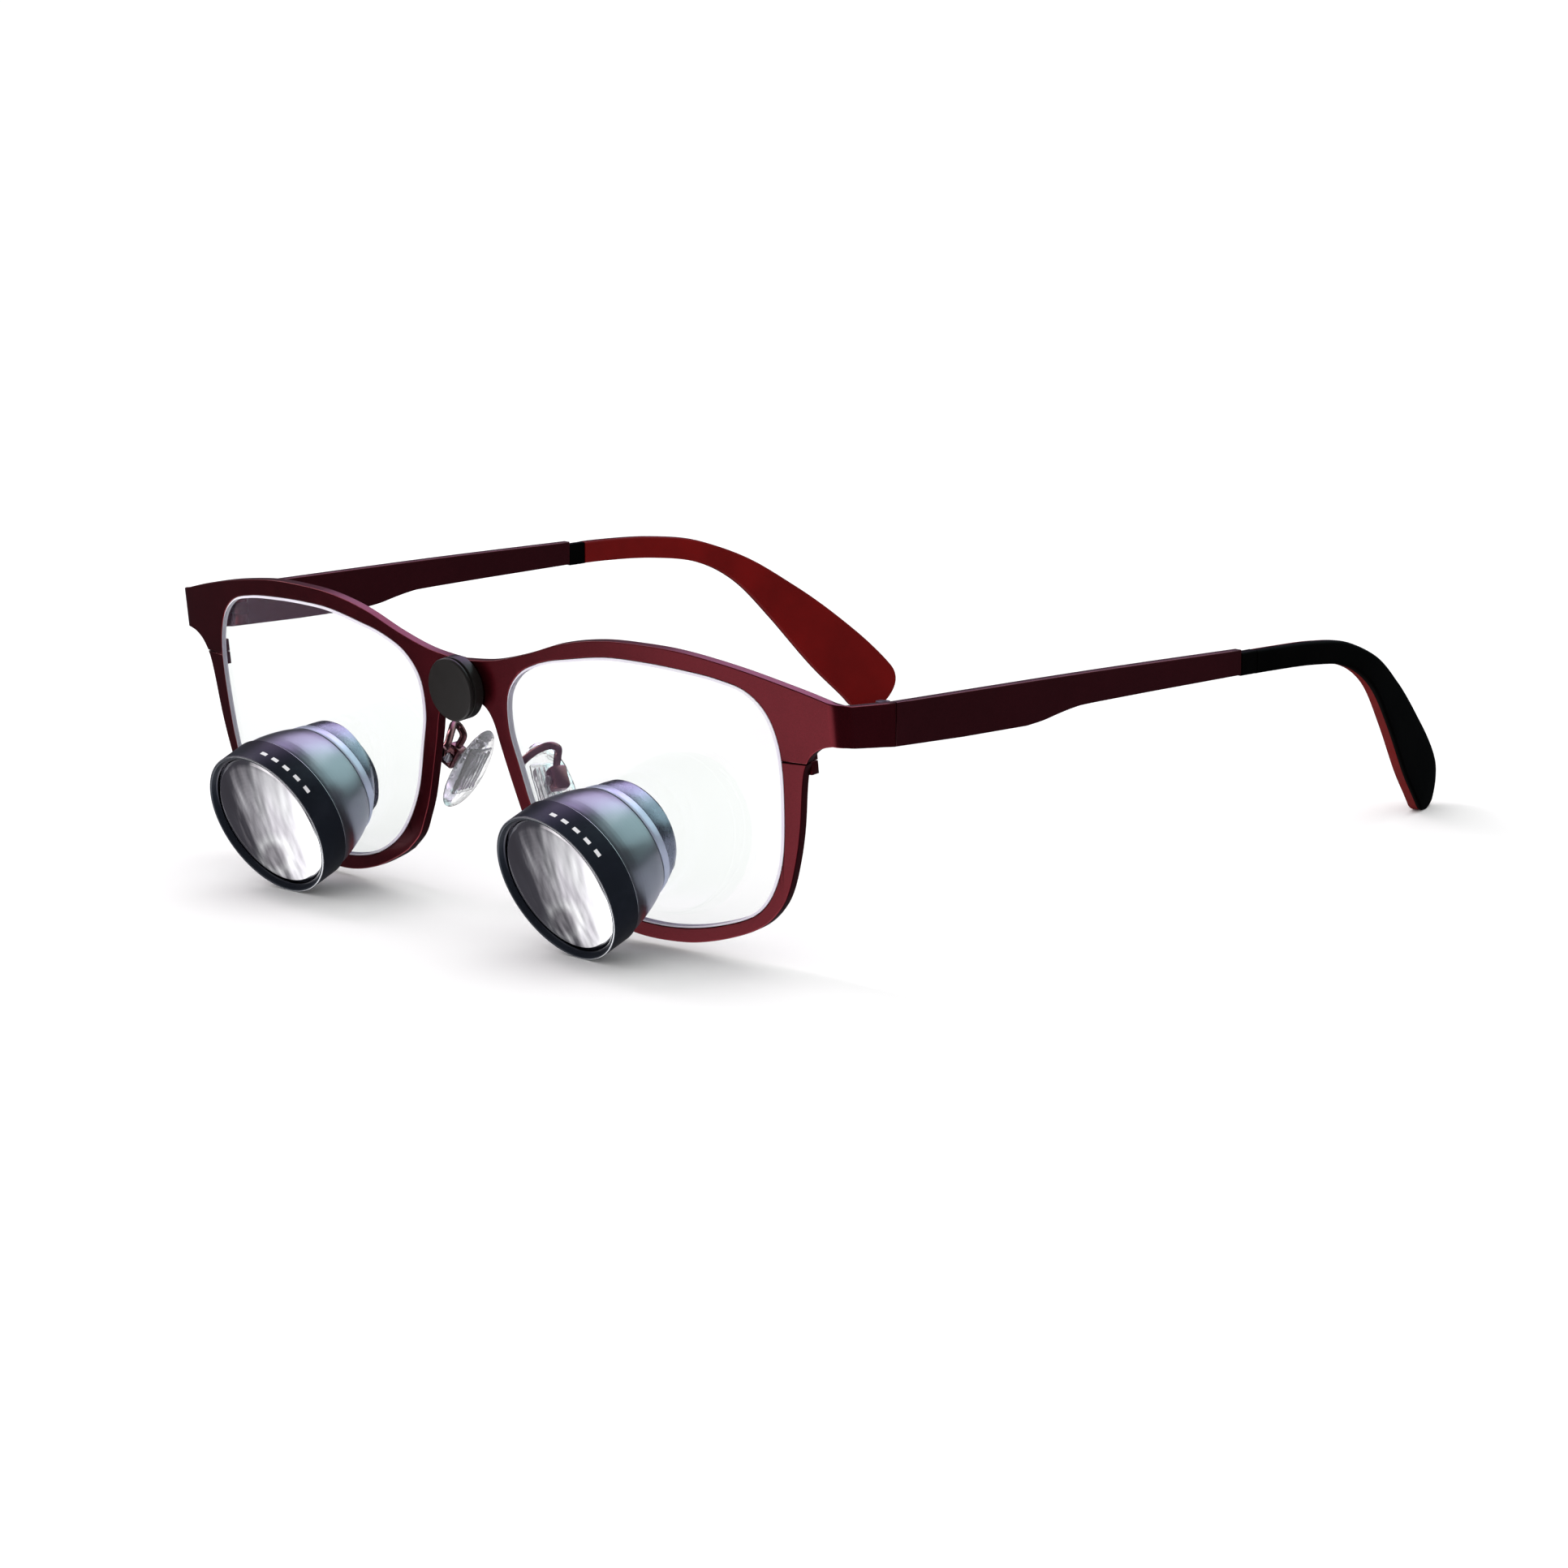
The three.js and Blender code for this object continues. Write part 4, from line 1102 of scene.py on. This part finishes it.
def tip_section(inner, outer, half, round_size):
    """One cross-section of a tip layer as (outward, upward) pairs, with its outer corners rounded."""
    sign = 1 if outer > inner else -1
    rim = min(round_size, half * 0.6, abs(outer - inner) * 0.9)
    angles = [math.pi / 2 * k / TIP_RIM_STEPS for k in range(TIP_RIM_STEPS + 1)]
    section = [(inner, -half)]
    for angle in angles:
        outward = outer - sign * rim * (1 - math.sin(angle))
        section.append((outward, -half + rim * (1 - math.cos(angle))))
    section += [(outer, -half * 0.4), (outer, half * 0.4)]
    for angle in angles:
        outward = outer - sign * rim * (1 - math.cos(angle))
        section.append((outward, half - rim * (1 - math.sin(angle))))
    section.append((inner, half))
    return section


def tip_loft(start, end, count, inner_rule, outer_rule, width_rule, round_size):
    """A layer of the tip between two offsets from its middle surface, with a rounded outer rim."""
    shape = bmesh.new()
    rings = []
    for i in range(count + 1):
        share = i / count
        distance = start + (end - start) * (1 - (1 - share) ** 2)
        at = TIP_PATH.at(distance)
        tangent = TIP_PATH.tangent(min(distance, TIP_PATH.length - 0.1))
        outward = Vector((tangent.y, -tangent.x, 0)).normalized()
        upward = outward.cross(tangent)
        half = width_rule(distance) / 2
        section = tip_section(inner_rule(distance), outer_rule(distance), half, round_size)
        rings.append([shape.verts.new(at + outward * a + upward * b) for a, b in section])
    close_rings(shape, rings)
    return shape


def temple_tip(side, mirror):
    """The black outer layer with its collar round the arm's end, and the red lining."""
    body = "temple_" + side
    outer = tip_loft(
        TIP_COLLAR, TIP_PATH.length, 90, lambda d: tip_split(d) + 0.01,
        lambda d: layer_thickness(TIP_OUTER_LAYER, d), tip_width, 0.5,
    )
    collar = tip_loft(
        0.03, TIP_COLLAR - 0.05, 8, lambda _: -0.72, lambda _: 0.82, lambda d: tip_width(d) - 0.1, 0.3,
    )
    mesh = mesh_from(merged(outer, collar), wing_matrix(), mirror, 50)
    fine_piece("tip_outer", side, mesh, "tip_outer", body)
    inner = tip_loft(
        TIP_COLLAR, TIP_PATH.length - 0.05, 90, lambda d: tip_split(d) - 0.01,
        lambda d: -layer_thickness(TIP_INNER_LAYER, d),
        lambda d: tip_width(d) - 0.05, 0.4,
    )
    mesh = mesh_from(inner, wing_matrix(), mirror, 50)
    fine_piece("tip_inner", side, mesh, "tip_inner", body)


# ---------------- light mount


def light_mount():
    """The round cap on the bridge: domed edge, groove round its side, open back over the seat."""
    groove = CAP_RADIUS - 0.3
    lip = CAP_RADIUS - 0.05
    profile = [
        (3.92, 0.12), (CAP_RADIUS - 0.1, 0.12), (CAP_RADIUS, 0.22), (CAP_RADIUS, 1.66), (lip, 1.74),
        (groove, 1.78), (groove, 2.08), (lip, 2.12), (CAP_RADIUS, 2.2), (CAP_RADIUS, CAP_FRONT - 0.22),
        (CAP_RADIUS - 0.2, CAP_FRONT), (0, CAP_FRONT), (0, 2.1), (2.85, 2.1), (2.85, 1.36), (3.92, 1.36),
    ]
    shape = turned_shape(profile, fillet=0.06)
    forwards = Matrix.Rotation(math.radians(90), 4, "X")
    matrix = Matrix.Rotation(TILT, 4, "X") @ Matrix.Translation((0, 0, MOUNT_HEIGHT)) @ forwards
    mesh = mesh_from(shape, matrix, 1, 40)
    fine_piece("light_mount_cap", "", mesh, "mount_cap", "light_cap")


# ---------------- carried-over CAD nodes


def dress(node, look, bevel=0.08):
    """Keeps a CAD node, softens its edges and gives it a material."""
    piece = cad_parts[node]
    piece.data.materials.clear()
    piece.data.materials.append(LOOKS[look])
    piece.data.shade_smooth()
    weld = piece.modifiers.new("weld", "WELD")
    weld.merge_threshold = 0.000002
    soften = piece.modifiers.new("soften", "BEVEL")
    soften.width = bevel / 1000
    soften.segments = 3
    soften.limit_method = "ANGLE"
    soften.angle_limit = math.radians(40)
    soften.harden_normals = True


SIDE_HARDWARE = (
    ("pad_screw", "steel", 0.06), ("hinge_screw", "screw_steel", 0.06),
    ("rim_lock_screw", "screw_steel", 0.06), ("endpiece_hinge", "frame_paint", 0.06),
    ("temple_hinge", "temple_paint", 0.06), ("rim_lock_upper", "frame_paint", 0.2),
    ("rim_lock_lower", "frame_paint", 0.2),
)


def dress_hardware():
    """The small hardware keeps its CAD shapes."""
    for side, _ in SIDES:
        for name, look, bevel in SIDE_HARDWARE:
            dress(name + "_" + side, look, bevel)
    dress("light_mount_base", "steel")
    dress("light_mount_screw", "steel")
    dress("cap_magnet", "magnet")


# ---------------- studio

WHITE_LEVEL = 0.88
DIM_LEVEL = (0.07, 0.07, 0.08)
TABLE_HALF_WIDTH = 4
STRIP_PLACE = Vector((-0.62, -0.10, 0.58))
STRIP_AIM = Vector((0, -0.06, 0.02))


def strip_lamp():
    """A soft strip light, high up on the wearer's right."""
    data = bpy.data.lights.new("strip_left", "AREA")
    data.shape = "RECTANGLE"
    data.size = 0.12
    data.size_y = 0.5
    data.energy = 1.6
    data.color = (1.0, 0.9, 0.96)
    lamp = bpy.data.objects.new("strip_left", data)
    lamp.location = STRIP_PLACE
    lamp.rotation_mode = "QUATERNION"
    lamp.rotation_quaternion = (STRIP_AIM - STRIP_PLACE).to_track_quat("-Z", "Y")
    put_in_scene(lamp)


def table():
    shape = bmesh.new()
    bmesh.ops.create_grid(shape, x_segments=2, y_segments=2, size=TABLE_HALF_WIDTH)
    mesh = bpy.data.meshes.new("table")
    shape.to_mesh(mesh)
    shape.free()
    mesh.materials.append(floor_look())
    floor = bpy.data.objects.new("table", mesh)
    floor.visible_glossy = False
    put_in_scene(floor)


def ceiling_light():
    """A very soft light from above, left out of reflections."""
    sun = bpy.data.lights.new("ceiling", "SUN")
    sun.energy = 0.75
    sun.angle = math.radians(70)
    ceiling = bpy.data.objects.new("ceiling", sun)
    ceiling.rotation_euler = (math.radians(-15), math.radians(-12), 0)
    ceiling.visible_glossy = False
    put_in_scene(ceiling)


def studio():
    table()
    surroundings()
    ceiling_light()
    strip_lamp()
    view = bpy.context.scene.view_settings
    view.view_transform = "Standard"
    view.look = "None"


# Each glow: its direction, where it fades out, its strength and its colour.
GLOWS = (
    ((-0.28, -0.93, -0.22), 0.82, 1.15, (1.0, 0.97, 0.97)),
    ((-0.28, -0.40, -0.87), 0.78, 2.2, (1.0, 1.0, 1.0)),
    ((-0.38, 0.58, 0.72), 0.87, 2.1, (0.80, 0.58, 1.0)),
    ((0.22, 0.76, 0.61), 0.78, 1.5, (0.74, 1.0, 1.0)),
)


def glow_light(nodes, links, place, glow):
    """One soft glow, as a socket."""
    direction, edge, strength, colour = glow
    facing = nodes.new("ShaderNodeVectorMath")
    facing.operation = "DOT_PRODUCT"
    facing.inputs[1].default_value = Vector(direction).normalized()
    links.new(place, facing.inputs[0])
    fade = nodes.new("ShaderNodeMapRange")
    fade.interpolation_type = "SMOOTHSTEP"
    fade.inputs["From Min"].default_value = edge
    fade.inputs["To Max"].default_value = strength
    links.new(facing.outputs["Value"], fade.inputs["Value"])
    tint = nodes.new("ShaderNodeVectorMath")
    tint.operation = "SCALE"
    tint.inputs[0].default_value = colour
    links.new(fade.outputs["Result"], tint.inputs["Scale"])
    return tint.outputs["Vector"]


def dim_studio(nodes, links):
    """An even dim level with every glow added to it, as a background shader."""
    place = nodes.new("ShaderNodeTexCoord").outputs["Generated"]
    total = None
    for glow in GLOWS:
        add = nodes.new("ShaderNodeVectorMath")
        add.inputs[0].default_value = DIM_LEVEL
        if total:
            links.new(total, add.inputs[0])
        links.new(glow_light(nodes, links, place, glow), add.inputs[1])
        total = add.outputs["Vector"]
    dim = nodes.new("ShaderNodeBackground")
    links.new(total, dim.inputs["Color"])
    return dim.outputs["Background"]


def surroundings():
    """White behind the object and for the fill, and a dim studio with soft glows in the reflections."""
    world = bpy.data.worlds.new("studio")
    world.use_nodes = True
    nodes, links = world.node_tree.nodes, world.node_tree.links
    white = nodes["Background"]
    white.inputs["Color"].default_value = (1, 1, 1, 1)
    white.inputs["Strength"].default_value = WHITE_LEVEL
    rays = nodes.new("ShaderNodeLightPath")
    choice = nodes.new("ShaderNodeMixShader")
    links.new(rays.outputs["Glossy Depth"], choice.inputs["Fac"])
    links.new(white.outputs["Background"], choice.inputs[1])
    links.new(dim_studio(nodes, links), choice.inputs[2])
    links.new(choice.outputs["Shader"], nodes["World Output"].inputs["Surface"])
    bpy.context.scene.world = world


# ---------------- the object

make_camera()
front_frame()
for side, mirror in SIDES:
    carrier_lens(side, mirror)
    telescope(side, mirror)
    index_marks(side, mirror)
    nose_pad(side, mirror)
    pad_arm(side, mirror)
    temple_arm(side, mirror)
    temple_tip(side, mirror)
light_mount()
dress_hardware()
studio()
